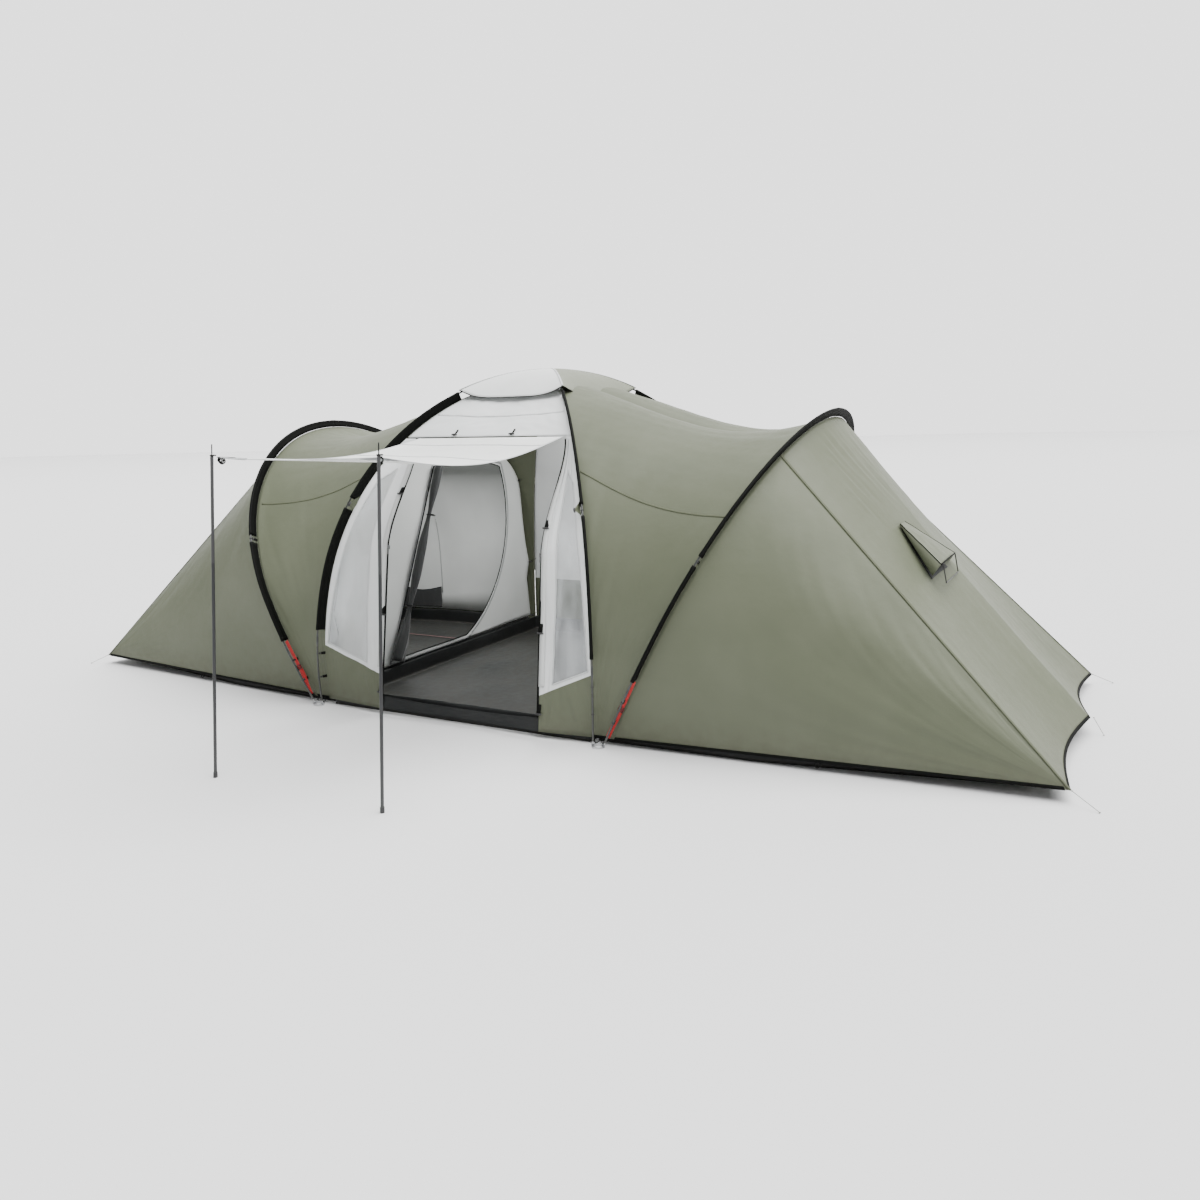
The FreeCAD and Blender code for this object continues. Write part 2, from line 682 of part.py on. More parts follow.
def door_outline(side_x, x):
    """The D shape of a cabin door at a place along the tent."""
    at = Vector(side_x * x, 0, 0)
    return Part.Wire([
        Part.LineSegment(at + DOOR_FRONT_LOW, at + DOOR_FRONT_HIGH).toShape(),
        Part.Arc(at + DOOR_FRONT_HIGH, at + DOOR_TOP_BOW, at + DOOR_REAR_HIGH).toShape(),
        Part.Arc(at + DOOR_REAR_HIGH, at + DOOR_REAR_BOW, at + DOOR_REAR_LOW).toShape(),
        Part.LineSegment(at + DOOR_REAR_LOW, at + DOOR_FRONT_LOW).toShape(),
    ])


def make_cabin_wall(side_x):
    """The upright wall between the living space and a cabin, open at its D-shaped door."""
    rim = [cabin_surface(side_x, 1)(0, i / 16) for i in range(17)]
    rim += [cabin_surface(side_x, -1)(0, i / 16) for i in range(15, -1, -1)]
    rim = [Vector(side_x * CABIN_WALL_X, point.y, point.z) for point in rim]
    wall = Part.Face(Part.makePolygon(rim + rim[:1])).extrude(Vector(side_x * CABIN_CLOTH, 0, 0))
    through = Vector(side_x * 2 * CURTAIN_R, 0, 0)
    door = Part.Face(door_outline(side_x, CABIN_WALL_X - CURTAIN_R)).extrude(through)
    return wall.cut(door)


def make_cabin_floor(side_x):
    widths = CABIN_WIDTHS
    near, knee, end = (side_x * x for x in (CABIN_WALL_X, CABIN_KNEE_X, CABIN_END_X))
    corners = [Vector(near, -widths[0], 0), Vector(knee, -widths[1], 0), Vector(end, -widths[2], 0),
               Vector(end, widths[2], 0), Vector(knee, widths[1], 0), Vector(near, widths[0], 0)]
    return tub(corners, TUB_WALL)


def make_door_curtains():
    """The cabin doors, rolled up along their front edges and tied."""
    solids = []
    for side_x in (-1, 1):
        at = Vector(side_x * (CABIN_WALL_X - CURTAIN_R - SLIDER_DEPTH - PULL_THICKNESS), 0, 0)
        low, high = at + DOOR_FRONT_LOW, at + DOOR_FRONT_HIGH
        tie = lerp(low, high, CURTAIN_TIE)
        run = high - low
        solids.append(Part.makeCone(CURTAIN_R, CURTAIN_TIE_R, (tie - low).Length, low, run))
        solids.append(Part.makeCone(CURTAIN_TIE_R, CURTAIN_R * 0.7, (high - tie).Length, tie, run))
    return Part.makeCompound(solids)


def zip_frame(ends):
    """Where a door slider rests, its run, the way to the door's middle and the way out of the cloth."""
    top = zip_point(ends, ZIP_SHOULDER_Z - SLIDER_LENGTH)
    run = (zip_point(ends, SILL_Z) - top).normalize()
    inward = Vector(1 if ends[0] < 0 else -1, 0, 0)
    inward = (inward - run * inward.dot(run)).normalize()
    out = run.cross(inward).normalize()
    if out.y > 0:
        out = out * -1
    return top, run, inward, out


def make_door_zip_tapes():
    """Zip tapes along both sides of the doorway, sewn to the edges of the front wall."""
    tapes = []
    for ends in (ZIP_LEFT, ZIP_RIGHT):
        way = 1 if ends[0] < 0 else -1

        def band(u, v, ends=ends, way=way):
            point = zip_point(ends, lerp(SILL_Z, HINGE_Z - ZIP_TAPE_END, v))
            return point + Vector(way * lerp(SEAM / 2, ZIP_TAPE, u), 0, 0)
        tapes.append(skin(band, 1, 20, ZIP_TAPE_THICKNESS, to_axis))
    return Part.makeCompound(tapes)


def oriented_box(centre, axes, sizes):
    """A box with its middle at centre and its sides along three axes at right angles."""
    half = [axis * (size / 2) for axis, size in zip(axes, sizes)]
    corners = [centre - half[0] * a - half[1] * b - half[2] for a, b in ((1, 1), (-1, 1), (-1, -1), (1, -1))]
    return Part.Face(Part.makePolygon(corners + corners[:1])).extrude(half[2] * 2)


def slider(at, run, inward, out, edge, thickness):
    """A zip slider that straddles the edge of its tape, with a pull that hangs in front."""
    body = oriented_box(at + inward * edge, (run, inward, out), (SLIDER_LENGTH, SLIDER_WIDTH, SLIDER_DEPTH))
    middle = at + inward * (edge - SLIDER_WIDTH / 2) - out * (thickness / 2)
    slot = oriented_box(middle, (run, inward, out),
                        (SLIDER_LENGTH * 2, SLIDER_WIDTH + 1, thickness + 2 * SLIDER_SLOT))
    pull_at = at + inward * edge + out * (SLIDER_DEPTH / 2 + PULL_THICKNESS / 2)
    pull = oriented_box(pull_at + run * (PULL_LENGTH / 2), (run, inward, out),
                        (PULL_LENGTH, SLIDER_WIDTH * 0.7, PULL_THICKNESS))
    return body.cut(slot).fuse(pull)


def make_door_slider(ends):
    at, run, inward, out = zip_frame(ends)
    return slider(at, run, inward, out, ZIP_TAPE, ZIP_TAPE_THICKNESS)


def make_cabin_slider(side_x):
    """The slider of a cabin door's zip, on the edge of the wall at the straight side of the door."""
    run = (DOOR_FRONT_LOW - DOOR_FRONT_HIGH).normalize()
    at = lerp(DOOR_FRONT_HIGH, DOOR_FRONT_LOW, 0.1) + Vector(side_x * CABIN_WALL_X, 0, 0)
    out = Vector(-side_x, 0, 0)
    inward = run.cross(out).normalize()
    if inward.y < 0:
        inward = inward * -1
    return slider(at, run, inward, out, 0.0, CABIN_CLOTH)


def flap_corners():
    """Left and right ends of each line of the flap, from the hinge to the free edge."""
    hinge_y = zip_point(ZIP_LEFT, HINGE_Z).y
    lines = []
    y, z, run = hinge_y, HINGE_Z, 0.0
    for length, slope in zip((0.0,) + FLAP_LENGTHS, (0.0,) + FLAP_SLOPES):
        y -= length * math.cos(math.radians(slope))
        z -= length * math.sin(math.radians(slope))
        run += length
        share = run / sum(FLAP_LENGTHS)
        lines.append((Vector(lerp(FLAP_LEFT[0], FLAP_LEFT[1], share), y, z),
                      Vector(lerp(FLAP_RIGHT[0], FLAP_RIGHT[1], share), y, z)))
    return lines


def make_flap_length(index):
    """One length of the flap: flat cloth between two of its lines, clear of its neighbours."""
    lines = flap_corners()
    first, last = lines[index], lines[index + 1]
    run = (last[0] - first[0]).normalize()
    corners = []
    for line, way in ((first, 1), (last, -1)):
        corners.append([point + run * (way * FLAP_JOINT / 2 / abs(run.y)) for point in line])
    outline = [corners[0][0], corners[0][1], corners[1][1], corners[1][0]]
    face = Part.Face(Part.makePolygon(outline + outline[:1]))
    up = Vector(0, run.z, -run.y).normalize()
    return face.extrude(up * FLAP_CLOTH)


def canopy_pole_ends(side_x):
    """Foot and top of a canopy pole's tube; its top leans a little along the tent."""
    foot = Vector(side_x * POLE_X - POLE_TIP_LEAN / 2, POLE_Y, 0)
    return foot, Vector(side_x * POLE_X + POLE_TIP_LEAN / 2, POLE_Y, CANOPY_POLE_TOP)


def make_canopy_pole(side_x):
    """Steel tube in sections; each section's lower end is swaged into the one below."""
    foot, top = canopy_pole_ends(side_x)
    run = (top - foot).normalize()
    start = foot + run * (FOOT_HEIGHT - FOOT_SOCKET)
    length = (top - start).Length / CANOPY_POLE_SECTIONS
    solids = []
    for i in range(CANOPY_POLE_SECTIONS):
        low = start + run * (length * i)
        tube = beam(low, low + run * length, CANOPY_POLE_R)
        bore = beam(low - run, low + run * (length + 1), CANOPY_POLE_BORE_R)
        tube = tube.cut(bore)
        if i:
            inside = beam(low - run * (SWAGE_LENGTH + 1), low + run * (COLLAR + 1),
                          CANOPY_POLE_BORE_R - TUBE_WALL)
            swage = beam(low - run * SWAGE_LENGTH, low + run * COLLAR, CANOPY_POLE_BORE_R - SLIP)
            tube = tube.fuse(swage).fuse(beam(low, low + run * COLLAR, CANOPY_POLE_R)).cut(inside)
        solids.append(tube)
    return Part.makeCompound(solids)


def make_canopy_pole_fittings(side_x):
    """The spike with its plug, the rubber foot, and the flap's corner loop that sits on the spike."""
    foot, top = canopy_pole_ends(side_x)
    run = (top - foot).normalize()
    plug = beam(top - run * PLUG_LENGTH, top, CANOPY_POLE_BORE_R - SLIP)
    collar = beam(top, top + run * COLLAR, CANOPY_POLE_R)
    spike = beam(top, top + run * ((SPIKE_TOP - CANOPY_POLE_TOP) / run.z), SPIKE_R)
    tip = Part.makeSphere(SPIKE_R, top + run * ((SPIKE_TOP - CANOPY_POLE_TOP) / run.z))
    rubber = beam(foot, foot + run * FOOT_HEIGHT, FOOT_R)
    socket = beam(foot + run * (FOOT_HEIGHT - FOOT_SOCKET), foot + run * (FOOT_HEIGHT + 1),
                  CANOPY_POLE_R + SLIP)
    block = 4 * FOOT_HEIGHT
    above_ground = Part.makeBox(block, block, block, Vector(foot.x - block / 2, foot.y - block / 2, 0))
    rubber = rubber.common(above_ground).cut(socket)
    centre = top + run * (COLLAR + LOOP_WIRE) + Vector(0, LOOP_R - SPIKE_R - LOOP_WIRE, 0)
    loop = Part.makeTorus(LOOP_R, LOOP_WIRE, centre, run)
    return Part.makeCompound([plug.fuse(collar).fuse(spike).fuse(tip), rubber, loop])


def vent_frame(side_x):
    """Hinge of a roof vent, and the ways down the slope and out of it."""
    panel = end_surface(1)
    at, below = (panel(u, (VENT_ACROSS + 1) / 2) for u in (VENT_DOWN, VENT_DOWN + 0.25))
    down = Vector(below.x - at.x, 0, below.z - at.z).normalize()
    out = Vector(-down.z, 0, down.x)
    hinge = at + out * VENT_BASE
    return [Vector(side_x * v.x, v.y, v.z) for v in (hinge, down, out)]


def make_vent_hood(side_x):
    """A stiffened hood over the vent's mesh, wider at its mouth, lifted on its props."""
    hinge, down, out = vent_frame(side_x)
    angle = math.radians(VENT_ANGLE)
    along = down * math.cos(angle) + out * math.sin(angle)
    up = out * math.cos(angle) - down * math.sin(angle)
    across = Vector(0, 1, 0)
    mouth = hinge + along * VENT_LENGTH
    outline = [hinge - across * VENT_NECK / 2, hinge + across * VENT_NECK / 2,
               mouth + across * VENT_MOUTH / 2, mouth - across * VENT_MOUTH / 2]
    return Part.Face(Part.makePolygon(outline + outline[:1])).extrude(up * VENT_CLOTH)


def prop_ends(side_x):
    """Feet and tips of a vent's two props; the tips stand just outside the hood's free edge."""
    hinge, down, out = vent_frame(side_x)
    angle = math.radians(VENT_ANGLE)
    along, rise = VENT_LENGTH * math.cos(angle), VENT_LENGTH * math.sin(angle)
    tip = hinge + down * (along + PROP_R + PROP_GAP) + out * (rise - PROP_DROP)
    foot = hinge + down * (along + PROP_REACH) + out * (PROP_FOOT - VENT_BASE)
    shift = Vector(0, VENT_MOUTH / 2 - PROP_SIDE, 0)
    return [(foot - shift, tip - shift), (foot + shift, tip + shift)]


def make_vent_props(side_x):
    """Two stiff props and the pin that their feet turn on."""
    ends = prop_ends(side_x)
    solid = beam(ends[0][0], ends[1][0], PROP_R)
    for foot, tip in ends:
        solid = solid.fuse(beam(foot, tip, PROP_R)).fuse(Part.makeSphere(PROP_R, foot))
    return solid


def guy_points():
    """Each guy line by name, from the fly to its knot on the ground."""
    points = {}
    for side_x, end in ((-1, "left"), (1, "right")):
        for side_y, place in ((-1, "front"), (1, "rear")):
            hem = end_hem(side_y)
            start = Vector(side_x * (hem.x + GUY_START_X), hem.y + side_y * GUY_START_Y, hem.z)
            peg = Vector(side_x * GUY_PEG_X, side_y * GUY_PEG_Y, KNOT_R)
            points["guy_line_%s_%s" % (end, place)] = (start, peg)
        start = Vector(side_x * (END_MID_X + GUY_MID_START), 0, END_MID_Z)
        points["guy_line_%s_middle" % end] = (start, Vector(side_x * GUY_MID_PEG_X, 0, KNOT_R))
    return points


def make_guy_line(start, end):
    run = (end - start).normalize()
    return beam(start + run * KNOT_R, end - run * KNOT_R, GUY_R)


def make_guy_knots():
    """Stopper knots at both ends of every guy line."""
    knots = [Part.makeSphere(KNOT_R, point) for ends in guy_points().values() for point in ends]
    return Part.makeCompound(knots)


def build():
    """Makes every piece of the tent by name."""
    pieces = {name: make_pole(curve, pole) for name, (curve, pole) in pole_curves().items()}
    pieces["pole_ferrules"] = make_pole_ferrules()
    pieces["pole_shock_cords"] = make_shock_cords()
    pieces["dome_pole_sleeves"] = make_sleeves(("dome_pole_left_front", "dome_pole_right_front"),
                                               (SLEEVE_GAP,), CAP_EDGE)
    pieces["corner_rings_and_pins"] = make_corner_rings_and_pins()
    pieces["hoop_sleeve_straps"] = make_hoop_straps()
    pieces["roof_cap"] = make_roof_cap()
    pieces["overdoor_panel"] = make_overdoor_panel()
    pieces["rear_panel"] = make_rear_panel()
    pieces["front_windows"] = make_front_windows()
    pieces["hem_tape"] = make_hem_tape()
    pieces["groundsheet"] = make_groundsheet()
    pieces["cabin_door_curtains"] = make_door_curtains()
    pieces["door_zip_tapes"] = make_door_zip_tapes()
    for side_x, side in ((-1, "left"), (1, "right")):
        pieces["hoop_sleeve_" + side] = make_sleeves(("hoop_pole_" + side,), HOOP_SLEEVE_GAPS, 1.0)
        pieces["front_wall_" + side] = make_front_panel(side_x)
        pieces["tunnel_front_" + side] = make_tunnel(side_x, -1)
        pieces["tunnel_rear_" + side] = make_tunnel(side_x, 1)
        pieces["end_panel_" + side] = make_end_panel(side_x)
        pieces["side_panel_front_" + side] = make_side_panel(side_x, -1)
        pieces["side_panel_rear_" + side] = make_side_panel(side_x, 1)
        pieces["cabin_floor_" + side] = make_cabin_floor(side_x)
        pieces["cabin_wall_" + side] = make_cabin_wall(side_x)
        pieces["cabin_tent_" + side] = make_cabin_tent(side_x)
        pieces["cabin_zip_slider_" + side] = make_cabin_slider(side_x)
        pieces["door_zip_slider_" + side] = make_door_slider(ZIP_LEFT if side_x < 0 else ZIP_RIGHT)
        pieces["canopy_pole_" + side] = make_canopy_pole(side_x)
        pieces["canopy_pole_fittings_" + side] = make_canopy_pole_fittings(side_x)
        pieces["vent_hood_" + side] = make_vent_hood(side_x)
        pieces["vent_props_" + side] = make_vent_props(side_x)
    for index, name in enumerate(("door_flap_upper", "door_flap_middle", "door_flap_lower")):
        pieces[name] = make_flap_length(index)
    for name, (start, end) in guy_points().items():
        pieces[name] = make_guy_line(start, end)
    pieces["guy_knots"] = make_guy_knots()
    return pieces


os.makedirs("parts", exist_ok=True)
for piece_name, shape in build().items():
    shape.exportStep("parts/" + piece_name + ".step")
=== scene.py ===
import bmesh
import bpy
import math
from mathutils import Euler, Matrix, Vector, noise


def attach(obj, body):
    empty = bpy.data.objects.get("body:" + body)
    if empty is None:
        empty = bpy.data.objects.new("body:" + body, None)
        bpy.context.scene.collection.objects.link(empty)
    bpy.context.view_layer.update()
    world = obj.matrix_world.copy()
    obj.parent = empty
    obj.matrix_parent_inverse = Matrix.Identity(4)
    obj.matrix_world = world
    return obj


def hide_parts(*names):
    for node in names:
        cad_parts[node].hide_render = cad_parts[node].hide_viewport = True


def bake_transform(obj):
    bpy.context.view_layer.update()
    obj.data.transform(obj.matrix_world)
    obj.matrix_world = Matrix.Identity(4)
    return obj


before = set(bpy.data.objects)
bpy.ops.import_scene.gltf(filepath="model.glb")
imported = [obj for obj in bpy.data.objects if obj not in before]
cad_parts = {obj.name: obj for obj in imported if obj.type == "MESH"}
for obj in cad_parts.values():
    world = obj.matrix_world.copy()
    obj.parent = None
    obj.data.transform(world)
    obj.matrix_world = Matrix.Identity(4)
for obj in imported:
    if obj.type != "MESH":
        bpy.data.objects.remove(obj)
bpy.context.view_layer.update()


# Camera: stands in front of the right-hand side at eye height, level, looking across the door to the far tunnel.
camera_data = bpy.data.cameras.new("camera")
camera_data.sensor_width = 36.0
camera_data.lens = 30.35
camera_data.shift_x = 0.0054
camera_data.shift_y = -0.155
camera_data.clip_end = 300.0
camera = bpy.data.objects.new("camera", camera_data)
VIEW_TURN = 0.4961
camera_turn = Euler((math.pi / 2, 0.0, VIEW_TURN)).to_matrix().to_4x4() @ Matrix.Rotation(-0.0247, 4, "Z")
camera.matrix_world = Matrix.Translation((3.527, -5.916, 1.753)) @ camera_turn
bpy.context.collection.objects.link(camera)
bpy.context.scene.camera = camera


# Guy lines: thin braided polyester cords from the end hems down to the ground, pulled tight.
# Each has a stopper knot in the hem's eyelet and one on the ground where its peg would hold it.
GUY_DIAMETER = 0.003
KNOT_R = 0.005
guy_routes = {
    "corner": (Vector((3.226, 1.068, 0.060)), Vector((3.335, 1.126, 0.005))),
    "middle": (Vector((3.273, 0.0, 0.090)), Vector((3.318, 0.0, 0.005))),
}


def make_node(tree, kind, links=(), **settings):
    """Adds a shader node; links gives each input another node's output or a plain value."""
    made = tree.nodes.new(kind)
    for key, value in settings.items():
        setattr(made, key, value)
    for socket, source in links:
        if isinstance(source, bpy.types.NodeSocket):
            tree.links.new(source, made.inputs[socket])
        else:
            made.inputs[socket].default_value = source
    return made


def make_group(name, inputs, outputs):
    """Starts a shader node group and returns its tree and its two end nodes."""
    tree = bpy.data.node_groups.new(name, "ShaderNodeTree")
    for label, kind, value in inputs:
        tree.interface.new_socket(label, in_out="INPUT", socket_type=kind).default_value = value
    for label, kind in outputs:
        tree.interface.new_socket(label, in_out="OUTPUT", socket_type=kind)
    return tree, tree.nodes.new("NodeGroupInput"), tree.nodes.new("NodeGroupOutput")


def sum_of(tree, operation, a, b=0.0, **settings):
    """A Math node's output."""
    return make_node(tree, "ShaderNodeMath", [(0, a), (1, b)], operation=operation, **settings).outputs[0]


def blended(tree, share, a, b):
    """A colour between a and b."""
    mix = make_node(tree, "ShaderNodeMix", data_type="RGBA")
    for socket, source in ((0, share), (6, a), (7, b)):
        if isinstance(source, bpy.types.NodeSocket):
            tree.links.new(source, mix.inputs[socket])
        else:
            mix.inputs[socket].default_value = source
    return mix.outputs[2]


def ranged(tree, value, low, high, to_low=0.0, to_high=1.0):
    """Maps low..high onto to_low..to_high."""
    links = [("Value", value), ("From Min", low), ("From Max", high), ("To Min", to_low), ("To Max", to_high)]
    return make_node(tree, "ShaderNodeMapRange", links).outputs[0]


def woven_group():
    """Plain woven cloth: thread bumps, soft puckers, uneven dye, and grime that gathers near the ground."""
    tree, given, out = make_group(
        "woven_cloth",
        [("Cloth", "NodeSocketColor", (0.5, 0.5, 0.5, 1)), ("Faded", "NodeSocketColor", (0.6, 0.6, 0.6, 1)),
         ("Thread", "NodeSocketFloat", 0.0012), ("Pucker", "NodeSocketFloat", 0.5),
         ("Gloss Low", "NodeSocketFloat", 0.5), ("Gloss High", "NodeSocketFloat", 0.7),
         ("Grime Height", "NodeSocketFloat", 0.2)],
        [("Colour", "NodeSocketColor"), ("Roughness", "NodeSocketFloat"), ("Height", "NodeSocketFloat")])
    place = make_node(tree, "ShaderNodeTexCoord").outputs["Object"]
    parts = make_node(tree, "ShaderNodeSeparateXYZ", [(0, place)])
    x, y, z = parts.outputs
    turns = sum_of(tree, "DIVIDE", math.tau, given.outputs["Thread"])
    warp = sum_of(tree, "SINE", sum_of(tree, "MULTIPLY", sum_of(tree, "ADD", x, y), turns))
    slant = sum_of(tree, "ADD", z, sum_of(tree, "MULTIPLY", y, 0.7))
    weft = sum_of(tree, "SINE", sum_of(tree, "MULTIPLY", slant, turns))
    weave = sum_of(tree, "MULTIPLY", sum_of(tree, "MULTIPLY", warp, weft), 0.00006)
    wide = make_node(tree, "ShaderNodeTexNoise", [("Vector", place), ("Scale", 1.7), ("Detail", 3.0)]).outputs[0]
    fine = make_node(tree, "ShaderNodeTexNoise", [("Vector", place), ("Scale", 22.0), ("Detail", 4.0)]).outputs[0]
    folds = make_node(tree, "ShaderNodeTexVoronoi", [("Vector", place), ("Scale", 1.9), ("Randomness", 0.9)],
                      feature="DISTANCE_TO_EDGE").outputs["Distance"]
    fold = ranged(tree, folds, 0.0, 0.10, 0.00012, 0.0)
    swell = sum_of(tree, "MULTIPLY", sum_of(tree, "ADD", sum_of(tree, "MULTIPLY", fine, 0.0016), fold),
                   given.outputs["Pucker"])
    faded = blended(tree, ranged(tree, wide, 0.35, 0.65), given.outputs["Cloth"], given.outputs["Faded"])
    low = sum_of(tree, "DIVIDE", z, given.outputs["Grime Height"])
    grime = sum_of(tree, "MULTIPLY", ranged(tree, low, 1.0, 0.0), ranged(tree, fine, 0.35, 0.7, 0.1, 0.45))
    tree.links.new(blended(tree, grime, faded, (0.07, 0.06, 0.045, 1)), out.inputs["Colour"])
    gloss = make_node(tree, "ShaderNodeMapRange", [("Value", fine), ("To Min", given.outputs["Gloss Low"]),
                                                   ("To Max", given.outputs["Gloss High"])]).outputs[0]
    tree.links.new(gloss, out.inputs["Roughness"])
    tree.links.new(sum_of(tree, "ADD", weave, swell), out.inputs["Height"])
    return tree


WOVEN = woven_group()


def cloth_material(name, cloth, faded, thread=0.0012, pucker=0.5, gloss=(0.5, 0.7), grime=0.2, sheen=0.0, shine=0.25):
    """A woven material on a shader of its own."""
    material = bpy.data.materials.new(name)
    material.use_nodes = True
    tree = material.node_tree
    shader = tree.nodes["Principled BSDF"]
    weave = make_node(tree, "ShaderNodeGroup", node_tree=WOVEN)
    for label, value in (("Cloth", (*cloth, 1)), ("Faded", (*faded, 1)), ("Thread", thread), ("Pucker", pucker),
                         ("Gloss Low", gloss[0]), ("Gloss High", gloss[1]), ("Grime Height", grime)):
        weave.inputs[label].default_value = value
    bump = make_node(tree, "ShaderNodeBump", [("Height", weave.outputs["Height"]), ("Distance", 1.0)])
    tree.links.new(weave.outputs["Colour"], shader.inputs["Base Color"])
    tree.links.new(weave.outputs["Roughness"], shader.inputs["Roughness"])
    tree.links.new(bump.outputs[0], shader.inputs["Normal"])
    shader.inputs["Sheen Weight"].default_value = sheen
    shader.inputs["Specular IOR Level"].default_value = shine
    return material


guy_cloth = cloth_material("guy_cord_braid", (0.16, 0.17, 0.15), (0.24, 0.25, 0.22), thread=0.002, grime=0.05)
guy_lines = []
for side, end in ((-1, "left"), (1, "right")):
    for way, spot in ((-1, "front"), (1, "rear"), (0, "middle")):
        mirror = Vector((side, way or 1, 1))
        first, last = (point * mirror for point in guy_routes["corner" if way else "middle"])
        run = (last - first).normalized()
        start, stop = first + run * KNOT_R, last - run * KNOT_R
        curve = bpy.data.curves.new("guy_line_" + end + "_" + spot, "CURVE")
        curve.dimensions = "3D"
        curve.bevel_depth = GUY_DIAMETER / 2
        curve.bevel_resolution = 3
        curve.use_fill_caps = True
        spline = curve.splines.new("NURBS")
        route = [start, start.lerp(stop, 0.5) - Vector((0, 0, 0.0004)), stop]
        spline.points.add(len(route) - 1)
        for point, place in zip(spline.points, route):
            point.co = (*place, 1.0)
        spline.order_u = 3
        spline.use_endpoint_u = True
        curve.materials.append(guy_cloth)
        line = bpy.data.objects.new("guy_cord_" + end + "_" + spot, curve)
        bpy.context.collection.objects.link(line)
        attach(line, "root")
        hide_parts("guy_line_" + end + "_" + spot)
        guy_knots = bmesh.new()
        guy_lines.append((line, start, (stop - start).length, guy_knots))
        for middle in (first, last):
            turns, sides, cord_r = 40, 6, 0.0013
            lumps = []
            for i in range(turns):
                angle = i * math.tau / turns
                lumps.append(Vector((math.sin(angle) + 2 * math.sin(2 * angle),
                                     math.cos(angle) - 2 * math.cos(2 * angle), -math.sin(3 * angle))) * 0.00115)
            rings = []
            for i, lump in enumerate(lumps):
                ahead = (lumps[(i + 1) % turns] - lumps[i - 1]).normalized()
                aside = ahead.orthogonal().normalized()
                up = ahead.cross(aside)
                ring = []
                for j in range(sides):
                    angle = j * math.tau / sides
                    spoke = (aside * math.cos(angle) + up * math.sin(angle)) * cord_r
                    ring.append(guy_knots.verts.new(middle + lump + spoke))
                rings.append(ring)
            for i in range(turns):
                for j in range(sides):
                    k = (j + 1) % sides
                    guy_knots.faces.new((rings[i - 1][j], rings[i - 1][k], rings[i][k], rings[i][j]))


def faced(maker):
    """Turns all made faces outward."""
    bmesh.ops.recalc_face_normals(maker, faces=maker.faces)
    return maker


def finished(name, maker, materials, body, replaces=()):
    """Turns made faces into a piece with smooth shading, on its body."""
    for face in maker.faces:
        face.smooth = True
    mesh = bpy.data.meshes.new(name)
    maker.to_mesh(mesh)
    maker.free()
    for material in materials:
        mesh.materials.append(material)
    piece = bpy.data.objects.new(name, mesh)
    bpy.context.collection.objects.link(piece)
    if body:
        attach(piece, body)
    if replaces:
        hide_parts(*replaces)
    return piece


for line, start, length, guy_knots in guy_lines:
    knots = finished(line.name + "_knots", guy_knots, [guy_cloth], "root", ["guy_knots"])
    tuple(start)


# Bent poles: four sprung glass-fibre rods in sections; two cross over the middle as a dome, one stands over the
# outer end of each tunnel as a hoop. Steel tubes join the sections. The drawn shapes stay and get their finishes.
CORNER = Vector((0.950, 1.250, 0.030))
CROWN_Z = 2.050
HOOP_FOOT_X = 1.020
HOOP_TOP = Vector((1.965, 0.0, 1.745))
POLE_R = 0.0055


def bent_pole(half_span, rise, lean, shoulder):
    """Half a sprung pole: a long arc up from the foot, then a tighter one to the crown."""
    lean, shoulder = math.radians(lean), math.radians(shoulder)
    a = math.cos(lean) - math.cos(shoulder)
    b, c = math.cos(shoulder), math.sin(shoulder) - math.sin(lean)
    d = 1.0 - math.sin(shoulder)
    lower_r = (half_span * d - rise * b) / (a * d - b * c)
    crown_r = (rise * a - half_span * c) / (a * d - b * c)
    lower_length = lower_r * (shoulder - lean)
    length = lower_length + crown_r * (math.pi / 2 - shoulder)
    foot = (half_span - lower_r * math.cos(lean), -lower_r * math.sin(lean))
    crown = (foot[0] + (lower_r - crown_r) * math.cos(shoulder), foot[1] + (lower_r - crown_r) * math.sin(shoulder))

    def point(share, inset=0.0):
        run = share * length
        if run < lower_length:
            angle, middle, radius = lean + run / lower_r, foot, lower_r
        else:
            angle, middle, radius = shoulder + (run - lower_length) / crown_r, crown, crown_r
        return middle[0] + (radius - inset) * math.cos(angle), middle[1] + (radius - inset) * math.sin(angle)
    return point


DIAGONAL = math.hypot(CORNER.x, CORNER.y)
HOOP_SLANT = math.hypot(HOOP_TOP.x - HOOP_FOOT_X, HOOP_TOP.z - CORNER.z)
DOME = bent_pole(DIAGONAL, CROWN_Z - CORNER.z, -7.6, 11.5)
LOWER_DROP = 0.014
LOWER_DOME = bent_pole(DIAGONAL, CROWN_Z - CORNER.z - LOWER_DROP, -7.6, 11.5)
HOOP = bent_pole(CORNER.y, HOOP_SLANT, -10.7, 1.1)


def dome(side_x, side_y, pole=DOME):
    """Points of the dome pole that stands on a corner, by share of its half length and inset from its middle."""
    def place(share, inset=0.0):
        out, up = pole(share, inset)
        return Vector((side_x * CORNER.x / DIAGONAL * out, side_y * CORNER.y / DIAGONAL * out, CORNER.z + up))
    return place


def hoop(side_x, side_y):
    """Points of one half of a hoop, which leans outward."""
    def place(share, inset=0.0):
        out, up = HOOP(share, inset)
        x = HOOP_FOOT_X + (HOOP_TOP.x - HOOP_FOOT_X) * up / HOOP_SLANT
        return Vector((side_x * x, side_y * out, CORNER.z + (HOOP_TOP.z - CORNER.z) * up / HOOP_SLANT))
    return place


